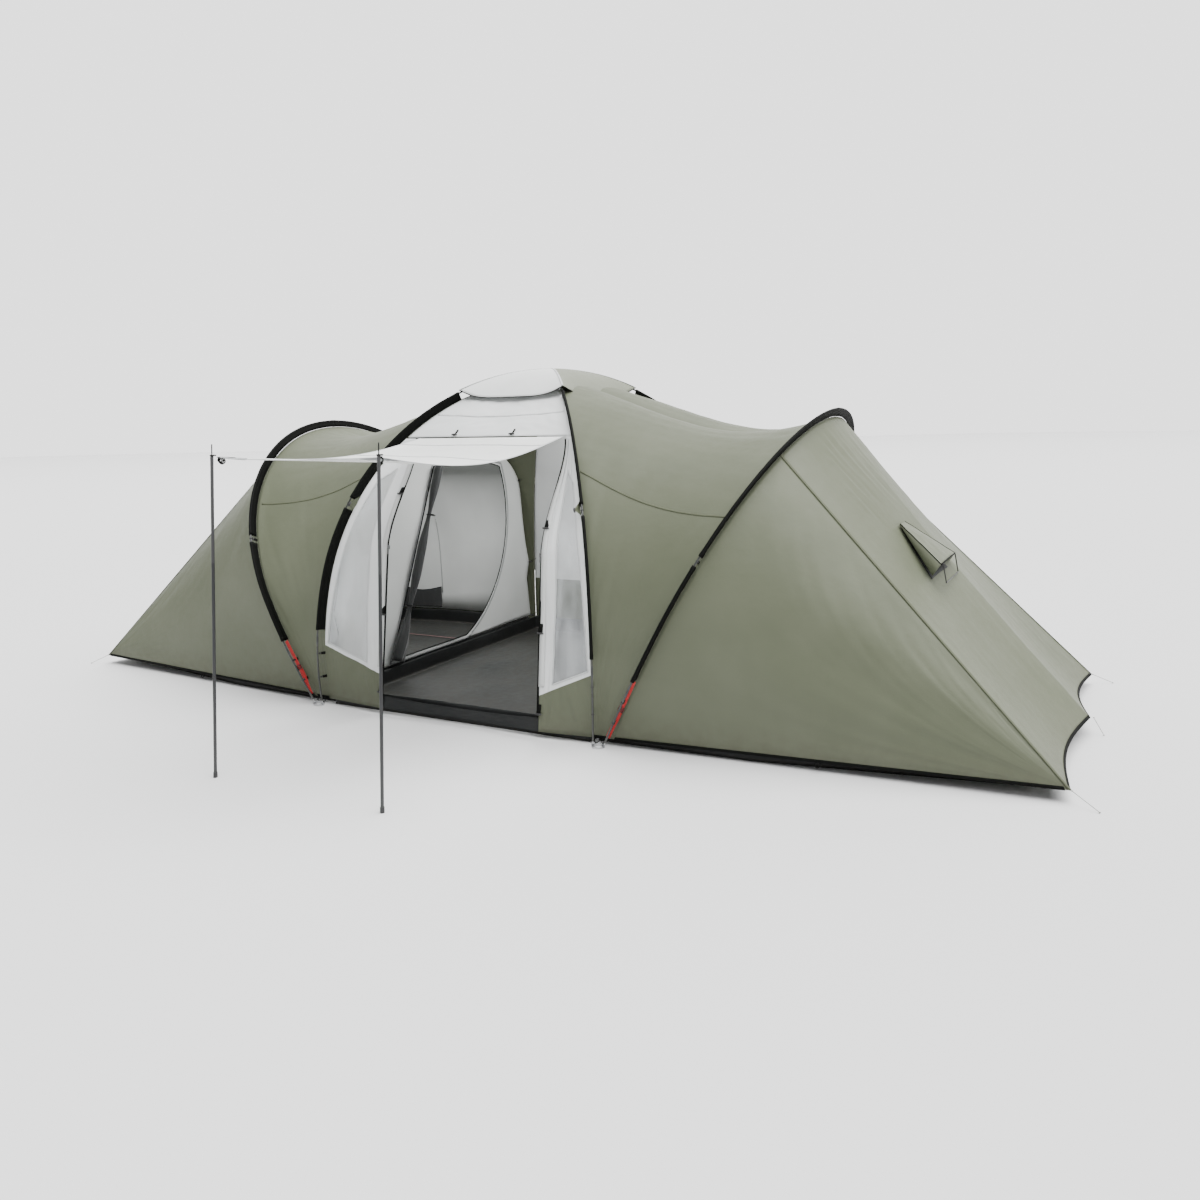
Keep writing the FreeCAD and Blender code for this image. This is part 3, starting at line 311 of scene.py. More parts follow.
def worn_group():
    """Handled metal or plastic: fine scratches along its length, dull patches and rubbed edges."""
    tree, given, out = make_group(
        "handled_surface",
        [("Base", "NodeSocketColor", (0.5, 0.5, 0.5, 1)), ("Rubbed", "NodeSocketColor", (0.7, 0.7, 0.7, 1)),
         ("Gloss Low", "NodeSocketFloat", 0.3), ("Gloss High", "NodeSocketFloat", 0.6),
         ("Wear", "NodeSocketFloat", 0.5)],
        [("Colour", "NodeSocketColor"), ("Roughness", "NodeSocketFloat"), ("Height", "NodeSocketFloat")])
    place = make_node(tree, "ShaderNodeTexCoord").outputs["Object"]
    streaks = make_node(tree, "ShaderNodeMapping", [("Vector", place), ("Scale", (900.0, 900.0, 40.0))]).outputs[0]
    lines = make_node(tree, "ShaderNodeTexNoise", [("Vector", streaks), ("Scale", 1.0), ("Detail", 2.0)]).outputs[0]
    patches = make_node(tree, "ShaderNodeTexNoise", [("Vector", place), ("Scale", 14.0), ("Detail", 5.0)]).outputs[0]
    edges = make_node(tree, "ShaderNodeNewGeometry").outputs["Pointiness"]
    rubbed = sum_of(tree, "MULTIPLY", ranged(tree, edges, 0.52, 0.60), given.outputs["Wear"])
    spots = sum_of(tree, "MULTIPLY", ranged(tree, patches, 0.60, 0.72), given.outputs["Wear"])
    share = sum_of(tree, "MAXIMUM", rubbed, sum_of(tree, "MULTIPLY", spots, 0.5))
    tree.links.new(blended(tree, share, given.outputs["Base"], given.outputs["Rubbed"]), out.inputs["Colour"])
    gloss = make_node(tree, "ShaderNodeMapRange", [("Value", patches), ("From Min", 0.3), ("From Max", 0.7),
                                                   ("To Min", given.outputs["Gloss Low"]),
                                                   ("To Max", given.outputs["Gloss High"])]).outputs[0]
    tree.links.new(gloss, out.inputs["Roughness"])
    tree.links.new(sum_of(tree, "MULTIPLY", lines, 0.00008), out.inputs["Height"])
    return tree


HANDLED = worn_group()


def hard_material(name, base, rubbed, gloss=(0.3, 0.5), wear=0.5, metallic=0.0, coat=0.0, shine=0.3):
    """Metal or plastic on a shader of its own."""
    material = bpy.data.materials.new(name)
    material.use_nodes = True
    tree = material.node_tree
    shader = tree.nodes["Principled BSDF"]
    worn = make_node(tree, "ShaderNodeGroup", node_tree=HANDLED)
    for label, value in (("Base", (*base, 1)), ("Rubbed", (*rubbed, 1)), ("Gloss Low", gloss[0]),
                         ("Gloss High", gloss[1]), ("Wear", wear)):
        worn.inputs[label].default_value = value
    bump = make_node(tree, "ShaderNodeBump", [("Height", worn.outputs["Height"]), ("Distance", 1.0)])
    tree.links.new(worn.outputs["Colour"], shader.inputs["Base Color"])
    tree.links.new(worn.outputs["Roughness"], shader.inputs["Roughness"])
    tree.links.new(bump.outputs[0], shader.inputs["Normal"])
    shader.inputs["Metallic"].default_value = metallic
    shader.inputs["Coat Weight"].default_value = coat
    shader.inputs["Specular IOR Level"].default_value = shine
    return material


def refinish(node, material):
    """Gives a drawn part its finish."""
    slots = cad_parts[node].material_slots
    if not slots:
        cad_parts[node].data.materials.append(material)
    for place in slots:
        place.material = material


pole_glass = hard_material("pole_glass_fibre", (0.03, 0.032, 0.03), (0.10, 0.10, 0.09), (0.25, 0.4), 0.4, coat=0.4)
steel = hard_material("zinc_steel", (0.50, 0.51, 0.52), (0.75, 0.75, 0.75), (0.25, 0.5), 0.5, metallic=1.0)
dark_steel = hard_material("ferrule_steel_blued", (0.035, 0.036, 0.038), (0.12, 0.12, 0.12), (0.35, 0.55), 0.4,
                           shine=0.2)
elastic = hard_material("elastic_cord", (0.75, 0.75, 0.72), (0.5, 0.5, 0.48), (0.6, 0.8), 0.3)
for node in ("dome_pole_left_front", "dome_pole_right_front", "hoop_pole_left", "hoop_pole_right"):
    refinish(node, pole_glass)
refinish("pole_ferrules", dark_steel)
refinish("pole_shock_cords", elastic)
refinish("corner_rings_and_pins", steel)


# Fly of the tunnels: coated olive polyester, one long panel over each tunnel from hem to hem, sewn to the sleeves of
# a dome pole and of the hoop. It hangs slack between the poles and creases along the ridge where it is pulled.
SLEEVE_DEPTH = 0.048
FLY_THICK = 0.0012
olive_side = cloth_material("fly_olive", (0.090, 0.100, 0.064), (0.104, 0.114, 0.076), pucker=0.8, gloss=(0.42, 0.6))
black_tape = cloth_material("black_tape", (0.002, 0.0023, 0.0018), (0.004, 0.0044, 0.0036), thread=0.0025,
                            gloss=(0.6, 0.8), grime=0.03, shine=0.08)


def lerp(a, b, share):
    return a + (b - a) * share


def smooth(value):
    """Eases 0..1."""
    value = min(1.0, max(0.0, value))
    return value * value * (3 - 2 * value)


def ripple(x, y, seed):
    """Gentle, irregular waves between -1 and 1."""
    return noise.noise(Vector((x, y, seed)))


def sagged(point, amount):
    """Draws a point of the cloth towards the tunnel's axis."""
    return point + Vector((0, -point.y, 0.5 - point.z)).normalized() * amount


def from_axis(point):
    """The way out of the tent at a point of its cloth."""
    return point - Vector((point.x * 0.6, 0, 0.4))


class Cloth:
    """A sewn panel: a surface over u and v, with creases that stand out of it."""

    def __init__(self, surface, creases=lambda u, v: 0.0, outward=from_axis):
        self.surface, self.creases, self.outward = surface, creases, outward

    def normal(self, u, v, step=0.002):
        along = self.surface(min(u + step, 1), v) - self.surface(max(u - step, 0), v)
        across = self.surface(u, min(v + step, 1)) - self.surface(u, max(v - step, 0))
        normal = along.cross(across).normalized()
        return -normal if normal.dot(self.outward(self.surface(u, v))) < 0 else normal

    def at(self, u, v, lift=0.0):
        return self.surface(u, v) + self.normal(u, v) * (self.creases(u, v) + lift)

    def grid(self, rows, columns, box=(0.0, 1.0, 0.0, 1.0)):
        u0, u1, v0, v1 = box
        return [[self.at(lerp(u0, u1, i / rows), lerp(v0, v1, j / columns)) for j in range(columns + 1)]
                for i in range(rows + 1)]


def cut_of(*grids):
    """Width, length and area of cloth laid flat, from its grids of points."""
    width = max(sum((b - a).length for a, b in zip(row, row[1:])) for grid in grids for row in grid)
    length = max(sum((b - a).length for a, b in zip(line, line[1:])) for grid in grids for line in zip(*grid))
    area = 0.0
    for grid in grids:
        for low, high in zip(grid, grid[1:]):
            for a, b, c, d in zip(low, low[1:], high[1:], high):
                area += ((c - a).cross(d - b)).length / 2
    return width, max(length, area / width), area


def sew(patches, thick, outward=from_axis):
    """Joins grids of points into one cloth with a thickness; each patch is a grid and a material number."""
    maker = bmesh.new()
    scale = maker.loops.layers.uv.new("UVMap")
    for grid, number in patches:
        rows = [[maker.verts.new(point) for point in row] for row in grid]
        for i in range(len(rows) - 1):
            for j in range(len(rows[0]) - 1):
                corners = (rows[i][j], rows[i][j + 1], rows[i + 1][j + 1], rows[i + 1][j])
                face = maker.faces.new(corners)
                face.material_index = number
                for loop, spot in zip(face.loops, ((i, j), (i, j + 1), (i + 1, j + 1), (i + 1, j))):
                    loop[scale].uv = (spot[0] / (len(rows) - 1), spot[1] / (len(rows[0]) - 1))
    bmesh.ops.remove_doubles(maker, verts=maker.verts, dist=0.00005)
    bmesh.ops.recalc_face_normals(maker, faces=maker.faces)
    maker.normal_update()
    votes = sum(1 if f.normal.dot(outward(f.calc_center_median())) > 0 else -1 for f in maker.faces)
    if votes < 0:
        bmesh.ops.reverse_faces(maker, faces=maker.faces)
    bmesh.ops.solidify(maker, geom=maker.faces[:], thickness=thick)
    return maker


def ribbon(line, normals, width, thick, number=0, maker=None):
    """A flat band of tape along a line, standing on the surface that the normals belong to."""
    maker = maker or bmesh.new()
    scale = maker.loops.layers.uv.verify()
    rings, run = [], 0.0
    for i, (point, normal) in enumerate(zip(line, normals)):
        ahead = line[min(i + 1, len(line) - 1)] - line[max(i - 1, 0)]
        aside = ahead.cross(normal).normalized() * (width / 2)
        run += (line[i] - line[i - 1]).length if i else 0.0
        top = normal * thick
        rings.append((run, [maker.verts.new(p) for p in (
            point - aside, point - aside + top, point + aside + top, point + aside)]))
    for (run_a, a), (run_b, b) in zip(rings, rings[1:]):
        for j in range(4):
            k = (j + 1) % 4
            face = maker.faces.new((a[j], a[k], b[k], b[j]))
            face.material_index = number
            for loop, uv in zip(face.loops, ((run_a, j - 1), (run_a, k - 1), (run_b, k - 1), (run_b, j - 1))):
                loop[scale].uv = uv
    for _, ring in (rings[0], rings[-1]):
        maker.faces.new(ring).material_index = number
    return maker


def seam_tape(panel, spots, width, thick, number, maker, lift=0.0002, face=1):
    """Tape sewn along a panel's own places; face is -1 where it is sewn to the inside."""
    ribbon([panel.at(u, v, lift) for u, v in spots], [panel.normal(u, v) * face for u, v in spots], width, thick,
           number, maker)


def stitch_group():
    """Two rows of stitches along a sewn tape, whose own coordinates run in metres along it."""
    tree, given, out = make_group("tape_stitches", [("Pitch", "NodeSocketFloat", 0.006)],
                                  [("Mask", "NodeSocketFloat")])
    place = make_node(tree, "ShaderNodeUVMap")
    parts = make_node(tree, "ShaderNodeSeparateXYZ", [(0, place.outputs[0])])
    step = sum_of(tree, "FRACT", sum_of(tree, "DIVIDE", parts.outputs[0], given.outputs["Pitch"]))
    dash = sum_of(tree, "LESS_THAN", step, 0.65)
    away = sum_of(tree, "ABSOLUTE", sum_of(tree, "SUBTRACT", parts.outputs[1], 0.5))
    row = sum_of(tree, "LESS_THAN", sum_of(tree, "ABSOLUTE", sum_of(tree, "SUBTRACT", away, 0.27)), 0.07)
    tree.links.new(sum_of(tree, "MULTIPLY", dash, row), out.inputs["Mask"])
    return tree


STITCHES = stitch_group()


def seam_material(name, cloth, faded, thread_colour):
    """A sewn seam: woven cloth with two rows of thread."""
    material = cloth_material(name, cloth, faded)
    tree = material.node_tree
    shader = tree.nodes["Principled BSDF"]
    rows = make_node(tree, "ShaderNodeGroup", node_tree=STITCHES)
    colour = shader.inputs["Base Color"].links[0].from_socket
    tree.links.new(blended(tree, rows.outputs[0], colour, (*thread_colour, 1)), shader.inputs["Base Color"])
    bump = shader.inputs["Normal"].links[0].from_node
    height = bump.inputs["Height"].links[0].from_socket
    raised = sum_of(tree, "ADD", height, sum_of(tree, "MULTIPLY", rows.outputs[0], -0.0005))
    tree.links.new(raised, bump.inputs["Height"])
    return material


olive_seam = seam_material("fly_olive_seam", (0.075, 0.083, 0.048), (0.086, 0.094, 0.057), (0.035, 0.04, 0.025))
grey_seam = seam_material("light_grey_seam", (0.52, 0.53, 0.53), (0.58, 0.59, 0.59), (0.35, 0.35, 0.35))

RIDGE_SAG = 0.205
SIDE_SAG = 0.035


def tunnel_surface(side_x):
    """u from the dome pole to the hoop, v from the front hem over the ridge to the rear hem."""
    halves = {way: (dome(side_x, way), hoop(side_x, way)) for way in (-1, 1)}

    def surface(u, v):
        way, up = (-1, v * 2) if v < 0.5 else (1, (1 - v) * 2)
        inner, outer = halves[way]
        point = lerp(inner(up, SLEEVE_DEPTH), outer(up, SLEEVE_DEPTH), u)
        sag = SIDE_SAG * math.sin(math.pi * u) * math.sin(math.pi * up)
        return sagged(point, sag + RIDGE_SAG * up ** 4 * math.sin(math.pi * u ** 1.5))
    return surface


def tunnel_creases(seed):
    """Fine creases along the ridge, puckers beside the sleeves, and a slight unevenness all over."""
    def creases(u, v):
        up = 1 - abs(2 * v - 1)
        free = smooth(u * 14) * smooth((1 - u) * 14) * smooth(up * 12)
        along = ripple(u * 1.6, v * 70, seed) * 0.0042 * smooth((up - 0.45) * 2.2)
        broad = ripple(u * 2.2, v * 6.5, seed + 5) * 0.009
        slant = ripple((u + up * 0.8) * 3.2, (u - up) * 14, seed + 9) * 0.0024
        pucker = ripple(u * 4, v * 120, seed + 3) * 0.003
        near = math.exp(-u * 26) + math.exp((u - 1) * 26)
        inside = smooth(up * 6) * smooth(u * 60) * smooth((1 - u) * 60)
        return (along + broad + slant) * free + pucker * near * inside
    return creases


tunnels = {}
for side, end in ((-1, "left"), (1, "right")):
    tunnel = Cloth(tunnel_surface(side), tunnel_creases(3.0 + side))
    tunnels[end] = tunnel
    points = tunnel.grid(56, 220, (0.002, 0.998, 0.0, 1.0))
    piece = finished("tunnel_fly_" + end, sew([(points, 0)], FLY_THICK), [olive_side], "root",
                     ["tunnel_front_" + end, "tunnel_rear_" + end])
    bands = bmesh.new()
    for level in (0.262, 0.738):
        shares = [lerp(0.03, 0.97, i / 70) for i in range(71)]
        bend = [level + 0.010 * math.copysign(math.sin(math.pi * u), level - 0.5) for u in shares]
        seam_tape(tunnel, list(zip(shares, bend)), 0.012, 0.0014, 0, bands)
    finished("tunnel_cross_seams_" + end, bands, [olive_seam], "root")


# Ends of the fly: on each tunnel a sloping end panel and two triangular side panels, from the hoop out to the
# corner pegs. Their hems are drawn in between the pegs.
RIDGE_START = 0.71
END_CORNER = Vector((3.220, 1.065, 0.060))
END_MIDDLE = Vector((3.255, 0.0, 0.090))
HEM_SCALLOP = 0.060
END_SAG = 0.025
CORNER_TURN = 0.040
olive_end = cloth_material("fly_olive_end", (0.096, 0.106, 0.069), (0.110, 0.120, 0.081), pucker=1.0,
                           gloss=(0.42, 0.58))


def end_hem(w):
    x = lerp(END_MIDDLE.x, END_CORNER.x, abs(w)) - HEM_SCALLOP * math.sin(math.pi * abs(w))
    return Vector((x, END_CORNER.y * w, lerp(END_MIDDLE.z, END_CORNER.z, abs(w))))


def end_surface(side_x):
    """u down the slope from the hoop to the hem, v from the front corner to the rear corner."""
    front, rear = hoop(1, -1), hoop(1, 1)

    def surface(u, v):
        w = 2 * v - 1
        top = (front if w < 0 else rear)(lerp(1, RIDGE_START, abs(w)), SLEEVE_DEPTH)
        low = end_hem(w)
        inward = Vector((low.z - top.z, 0, top.x - low.x)).normalized()
        point = lerp(top, low, u) + inward * (END_SAG * math.sin(math.pi * u) * (1 - w * w))
        return Vector((side_x * point.x, point.y, point.z))
    return surface


def end_creases(seed):
    """Slack creases that run up from the vent, and long shallow folds towards the pegs."""
    def creases(u, v):
        free = smooth(u * 12) * smooth((1 - u) * 9) * smooth(v * 16) * smooth((1 - v) * 16)
        above = smooth((0.36 - u) * 8) * math.exp(-((v - 0.32) * 6) ** 2)
        folds = ripple(u * 3.4 + v * 4, v * 40 - u * 12, seed) * 0.010 * above
        broad = ripple(u * 2.6, v * 5.5, seed + 2) * 0.009
        fine = ripple(u * 5, v * 34, seed + 4) * 0.0018
        cross = ripple(u * 46, v * 3, seed + 6) * 0.0016
        calm = 1 - math.exp(-((u - 0.44) * 5.5) ** 2 - ((v - 0.35) * 5.5) ** 2)
        return (folds + broad + fine + cross) * free * calm
    return creases


def side_surface(side_x, side_y):
    """v up the hoop's leg, u out to the lower corner of the end panel."""
    leg = hoop(1, side_y)
    corner = end_hem(side_y)
    ridge = (leg(RIDGE_START, SLEEVE_DEPTH) - corner).normalized()

    def surface(u, v):
        point = lerp(leg(v * RIDGE_START, SLEEVE_DEPTH), corner + ridge * (CORNER_TURN * v), u)
        point = sagged(point, SIDE_SAG * math.sin(math.pi * u) * math.sin(math.pi * v))
        return Vector((side_x * point.x, point.y, point.z))
    return surface


def side_creases(seed):
    def creases(u, v):
        free = smooth(u * 12) * smooth((1 - u) * 5) * smooth(v * 12) * smooth((1 - v) * 12)
        rays = ripple(v * 26 * (0.4 + u), u * 2.4, seed) * 0.0026
        return (rays + ripple(u * 2.5, v * 5, seed + 4) * 0.009) * free
    return creases


end_panels = {}
for side, end in ((-1, "left"), (1, "right")):
    panel = Cloth(end_surface(side), end_creases(11.0 + side))
    end_panels[end] = panel
    points = panel.grid(90, 130)
    piece = finished("end_fly_" + end, sew([(points, 0)], FLY_THICK), [olive_end], "root",
                     ["end_panel_" + end])
    seams = bmesh.new()
    for way, place in ((-1, "front"), (1, "rear")):
        flank = Cloth(side_surface(side, way), side_creases(17.0 + side * 2 + way))
        points = flank.grid(80, 64)
        piece = finished("side_fly_" + place + "_" + end, sew([(points, 0)], FLY_THICK), [olive_side], "root",
                         ["side_panel_" + place + "_" + end])
        edge = (1 + way) / 2
        shares = [i / 80 for i in range(81)]
        lean = [(panel.normal(u, edge) + flank.normal(min(u, 0.96), 0.995)).normalized() for u in shares]
        ribbon([panel.surface(u, edge) + n * 0.0008 for u, n in zip(shares, lean)], lean, 0.014, 0.0022, 0, seams)
    finished("end_ridge_seams_" + end, seams, [olive_seam], "root")


# Hem binding: black tape folded over the lower edge of the fly all round and sewn through.
HEM_TAPE = 0.014


def binding(line, ways_in, depth, thick, maker):
    """Tape folded over an edge: a long U that wraps the cloth."""
    rings = []
    for i, (point, inward) in enumerate(zip(line, ways_in)):
        ahead = (line[min(i + 1, len(line) - 1)] - line[max(i - 1, 0)]).normalized()
        face = ahead.cross(inward).normalized() * (thick / 2)
        edge = inward * -0.003
        ring = [point + inward * depth + face, point + face, point + edge, point - face,
                point + inward * depth - face]
        rings.append([maker.verts.new(p) for p in ring])
    for a, b in zip(rings, rings[1:]):
        for j in range(5):
            k = (j + 1) % 5
            maker.faces.new((a[j], a[k], b[k], b[j]))
    for ring in (rings[0], rings[-1]):
        maker.faces.new(ring)
    return maker


hems = bmesh.new()
for side in (-1, 1):
    for way in (-1, 1):
        tunnel, flank = tunnel_surface(side), side_surface(side, way)
        low, near = (0.0, 0.02) if way < 0 else (1.0, 0.98)
        for surface, edge, above in ((tunnel, low, near), (flank, 0.0, 0.03)):
            line = [surface(lerp(0.012, 0.99, i / 40), edge) for i in range(41)]
            upper = [surface(lerp(0.012, 0.99, i / 40), above) for i in range(41)]
            binding(line, [(b - a).normalized() for a, b in zip(line, upper)], HEM_TAPE, 0.0045, hems)
    panel = end_surface(side)
    line = [panel(1.0, lerp(0.004, 0.996, i / 120)) for i in range(121)]
    upper = [panel(0.97, lerp(0.004, 0.996, i / 120)) for i in range(121)]
    binding(line, [(b - a).normalized() for a, b in zip(line, upper)], HEM_TAPE, 0.0045, hems)
finished("hem_binding", hems, [black_tape], "root", ["hem_tape"])


# Pole sleeves: flat tubes of black polyester, sewn to the fly along their lower edge so that they stand up as fins.
# The pole runs in the round upper edge. They stop where the fly is clipped to the pole instead.
SLEEVE_R = 0.0095
SLEEVE_START = 0.15
CAP_EDGE = 0.775


def sleeve_run(place, start, end, seed, maker, down=SLEEVE_DEPTH - 0.003):
    """One stretch of sleeve, with puckers along the seam and a folded hem at each open end."""
    rows = max(8, int((end - start) * 150))
    rings = []
    for i in range(rows + 1):
        share = lerp(start, end, i / rows)
        point = place(share)
        outward = (place(share) - place(share, 0.01)).normalized()
        ahead = (place(min(share + 0.002, 1.0)) - place(share - 0.002)).normalized()
        across = ahead.cross(outward).normalized()
        hem = 0.0012 if min(i, rows - i) < 2 else 0.0
        wave = ripple(share * 80, 0.3, seed) * 0.0018
        radius = SLEEVE_R + hem + ripple(share * 55, 2.0, seed) * 0.0007
        half = 0.0016 + hem
        low, waist = point - outward * down, point - outward * 0.022
        ring = [low + across * (half + wave), waist + across * (half + wave * 0.6)]
        for j in range(9):
            angle = math.radians(lerp(-40, 220, j / 8))
            ring.append(point + (across * math.cos(angle) + outward * math.sin(angle)) * radius)
        ring += [waist + across * (wave * 0.6 - half), low + across * (wave - half)]
        rings.append([maker.verts.new(p) for p in ring])
    count = len(rings[0])
    for a, b in zip(rings, rings[1:]):
        for j in range(count):
            k = (j + 1) % count
            maker.faces.new((a[j], a[k], b[k], b[j]))
    for ring in (rings[0], rings[-1]):
        maker.faces.new(ring)


sleeves = bmesh.new()
for pole, corners in ((DOME, ((-1, -1), (1, 1))), (LOWER_DOME, ((1, -1), (-1, 1)))):
    reach = SLEEVE_DEPTH - 0.003 - (LOWER_DROP if pole is LOWER_DOME else 0.0)
    for side, way in corners:
        for start, end in ((SLEEVE_START, 0.413), (0.437, CAP_EDGE - 0.004)):
            sleeve_run(dome(side, way, pole), start, end, side * 3 + way, sleeves, reach)
finished("dome_sleeves", faced(sleeves), [black_tape], "root", ["dome_pole_sleeves"])
for side, end in ((-1, "left"), (1, "right")):
    sleeves = bmesh.new()
    for way in (-1, 1):
        for start, stop in ((SLEEVE_START, 0.405), (0.425, 0.9999)):
            sleeve_run(hoop(side, way), start, stop, side * 5 + way, sleeves)
    finished("hoop_sleeves_" + end, faced(sleeves), [black_tape], "root", ["hoop_sleeve_" + end])


# Clips and tie tabs: in each gap of the sleeves a moulded hook holds the fly to the pole by a short webbing,
# and an olive tab with a small toggle is sewn beside it.
moulded = hard_material("moulded_black", (0.012, 0.012, 0.012), (0.06, 0.06, 0.06), (0.3, 0.5), 0.4)


def add_box(maker, middle, axes, sizes, number=0, bevel=0.0):
    """A small block along three axes, with its edges broken where bevel is given."""
    made = bmesh.ops.create_cube(maker, size=1.0)["verts"]
    for vert in made:
        vert.co = middle + sum((axis * (vert.co[i] * sizes[i]) for i, axis in enumerate(axes)), Vector())
    faces = {face for vert in made for face in vert.link_faces}
    for face in faces:
        face.material_index = number
    if bevel:
        edges = list({edge for face in faces for edge in face.edges})
        bmesh.ops.bevel(maker, geom=edges, offset=bevel, segments=2, affect="EDGES", profile=0.7)


def add_tube(maker, line, radius, sides=8, number=0, closed=False):
    """A round bar or cord along a line of points."""
    rings, count = [], len(line)
    aside = (line[1] - line[0]).orthogonal().normalized()
    for i, point in enumerate(line):
        if closed:
            ahead = (line[(i + 1) % count] - line[i - 1]).normalized()
        else:
            ahead = (line[min(i + 1, count - 1)] - line[max(i - 1, 0)]).normalized()
        aside = (aside - ahead * aside.dot(ahead)).normalized()
        up = ahead.cross(aside)
        thick = radius(i / (count - 1)) if callable(radius) else radius
        ring = []
        for j in range(sides):
            angle = j * math.tau / sides
            ring.append(maker.verts.new(point + (aside * math.cos(angle) + up * math.sin(angle)) * thick))
        rings.append(ring)
    pairs = list(zip(rings, rings[1:])) + ([(rings[-1], rings[0])] if closed else [])
    for a, b in pairs:
        for j in range(sides):
            k = (j + 1) % sides
            maker.faces.new((a[j], a[k], b[k], b[j])).material_index = number
    if not closed:
        maker.faces.new(rings[0][::-1]).material_index = number
        maker.faces.new(rings[-1]).material_index = number


def barrel(maker, line, number, ends=0.0045, swell=0.002):
    """A small moulded toggle, thicker in the middle."""
    add_tube(maker, line, lambda t: ends + swell * math.sin(math.pi * t), 10, number)


def arc(middle, axis_a, axis_b, radius, start, end, steps):
    """Points of an arc in the plane of two axes, in degrees."""
    angles = [math.radians(lerp(start, end, i / steps)) for i in range(steps + 1)]
    return [middle + (axis_a * math.cos(t) + axis_b * math.sin(t)) * radius for t in angles]


def pole_clip(place, share, maker, inset=SLEEVE_DEPTH):
    """A hook over the pole on a short web that ends in the fly's seam."""
    point = place(share)
    outward = (place(share) - place(share, 0.01)).normalized()
    ahead = (place(share + 0.002) - place(share - 0.002)).normalized()
    across = ahead.cross(outward).normalized()
    add_tube(maker, arc(point, across, outward, POLE_R + 0.0022, -50, 230, 14), 0.0020, 8, 0)
    add_box(maker, point - outward * 0.014, (ahead, across, outward), (0.012, 0.006, 0.012), 0, 0.0015)
    add_box(maker, point - outward * (0.010 + inset) * 0.5 - outward * 0.006, (ahead, across, outward),
            (0.016, 0.0016, inset - 0.022), 1)


clips = bmesh.new()
for side in (-1, 1):
    for way in (-1, 1):
        pole = DOME if side * way > 0 else LOWER_DOME
        inset = SLEEVE_DEPTH - (0.0 if pole is DOME else LOWER_DROP)
        for share in (0.05, 0.10, 0.425):
            pole_clip(dome(side, way, pole), share, clips, inset)
        for share in (0.05, 0.10, 0.415):
            pole_clip(hoop(side, way), share, clips)
finished("pole_clips", faced(clips), [moulded, black_tape], "root")

tabs = bmesh.new()
for side in (-1, 1):
    for way in (-1, 1):
        place = dome(side, way)
        point = place(0.433, SLEEVE_DEPTH + 0.002)
        ahead = (place(0.44) - place(0.43)).normalized()
        outward = (place(0.43) - place(0.43, 0.01)).normalized()
        across = Vector((0, way, 0))
        across = (across - ahead * across.dot(ahead)).normalized()
        rows = []
        for i in range(9):
            t = i / 8
            rise = outward * (0.006 * math.sin(math.pi * t))
            spine = point + across * (0.002 + 0.062 * t) - ahead * (0.028 * t) + rise
            half = lerp(0.050, 0.007, t ** 0.8)
            rows.append([spine + ahead * (half * (2 * j / 6 - 1)) + outward * (0.003 * math.cos(j * 1.3))
                         for j in range(7)])
        sheets = [[tabs.verts.new(p + outward * rise) for p in row] for rise in (0.0, 0.0014) for row in rows]
        for layer in (sheets[:9], sheets[9:]):
            for low, high in zip(layer, layer[1:]):
                for j in range(6):
                    tabs.faces.new((low[j], low[j + 1], high[j + 1], high[j]))
        tip = rows[-1][3] + outward * 0.001
        barrel(tabs, [tip - ahead * 0.014, tip + across * 0.004, tip + ahead * 0.014], 1)
finished("tie_tabs", faced(tabs), [olive_side, moulded], "root")


# Sleeve straps: red polyester webbing that draws the foot of each hoop sleeve down to its corner ring,
# doubled through a ladder buckle.
red_web = cloth_material("red_webbing", (0.34, 0.020, 0.022), (0.40, 0.035, 0.035), thread=0.003,
                         gloss=(0.55, 0.75), grime=0.05, shine=0.15)
straps = bmesh.new()
for side in (-1, 1):
    for way in (-1, 1):
        place = hoop(side, way)
        low, high = place(0.012, POLE_R + 0.0035), place(SLEEVE_START - 0.002, SLEEVE_DEPTH * 0.5)
        outward = (place(0.08) - place(0.08, 0.01)).normalized()
        run = (high - low).normalized()
        flat = run.cross(outward).normalized()
        lift = flat.cross(run).normalized()
        lift = lift if lift.dot(outward) < 0 else -lift
        line = [low.lerp(high, i / 24) + lift * (0.0035 * math.sin(math.pi * i / 24)) for i in range(25)]
        ribbon(line, [lift] * 25, 0.024, 0.0018, 0, straps)
        tail = [low.lerp(high, lerp(0.16, 0.52, i / 10)) + lift * (0.004 + 0.010 * math.sin(i / 10 * 2.4))
                for i in range(11)]
        ribbon(tail, [lift] * 11, 0.022, 0.0014, 0, straps)
        middle = low.lerp(high, 0.5) + lift * 0.004
        for shift in (-0.012, 0.0, 0.012):
            add_box(straps, middle + run * shift, (flat, run, lift), (0.028, 0.0030, 0.005), 1, 0.001)
        for shift in (-0.014, 0.014):
            add_box(straps, middle + flat * shift, (flat, run, lift), (0.0025, 0.028, 0.005), 1, 0.001)
finished("sleeve_straps", faced(straps), [red_web, moulded], "root", ["hoop_sleeve_straps"])


# Roof cap: four gores of coated polyester over the crossing of the dome poles, light grey to the front and rear and
# pale green to the sides, with black binding on its straight lower edges; that black is also painted shadow, the dark
# line under the cap's edge.
CAP_LIFT = 0.018
CAP_DRAPE = 0.058
cap_corner = dome(1, 1)(CAP_EDGE, -CAP_LIFT)
cap_reach = math.hypot(cap_corner.x, cap_corner.y)


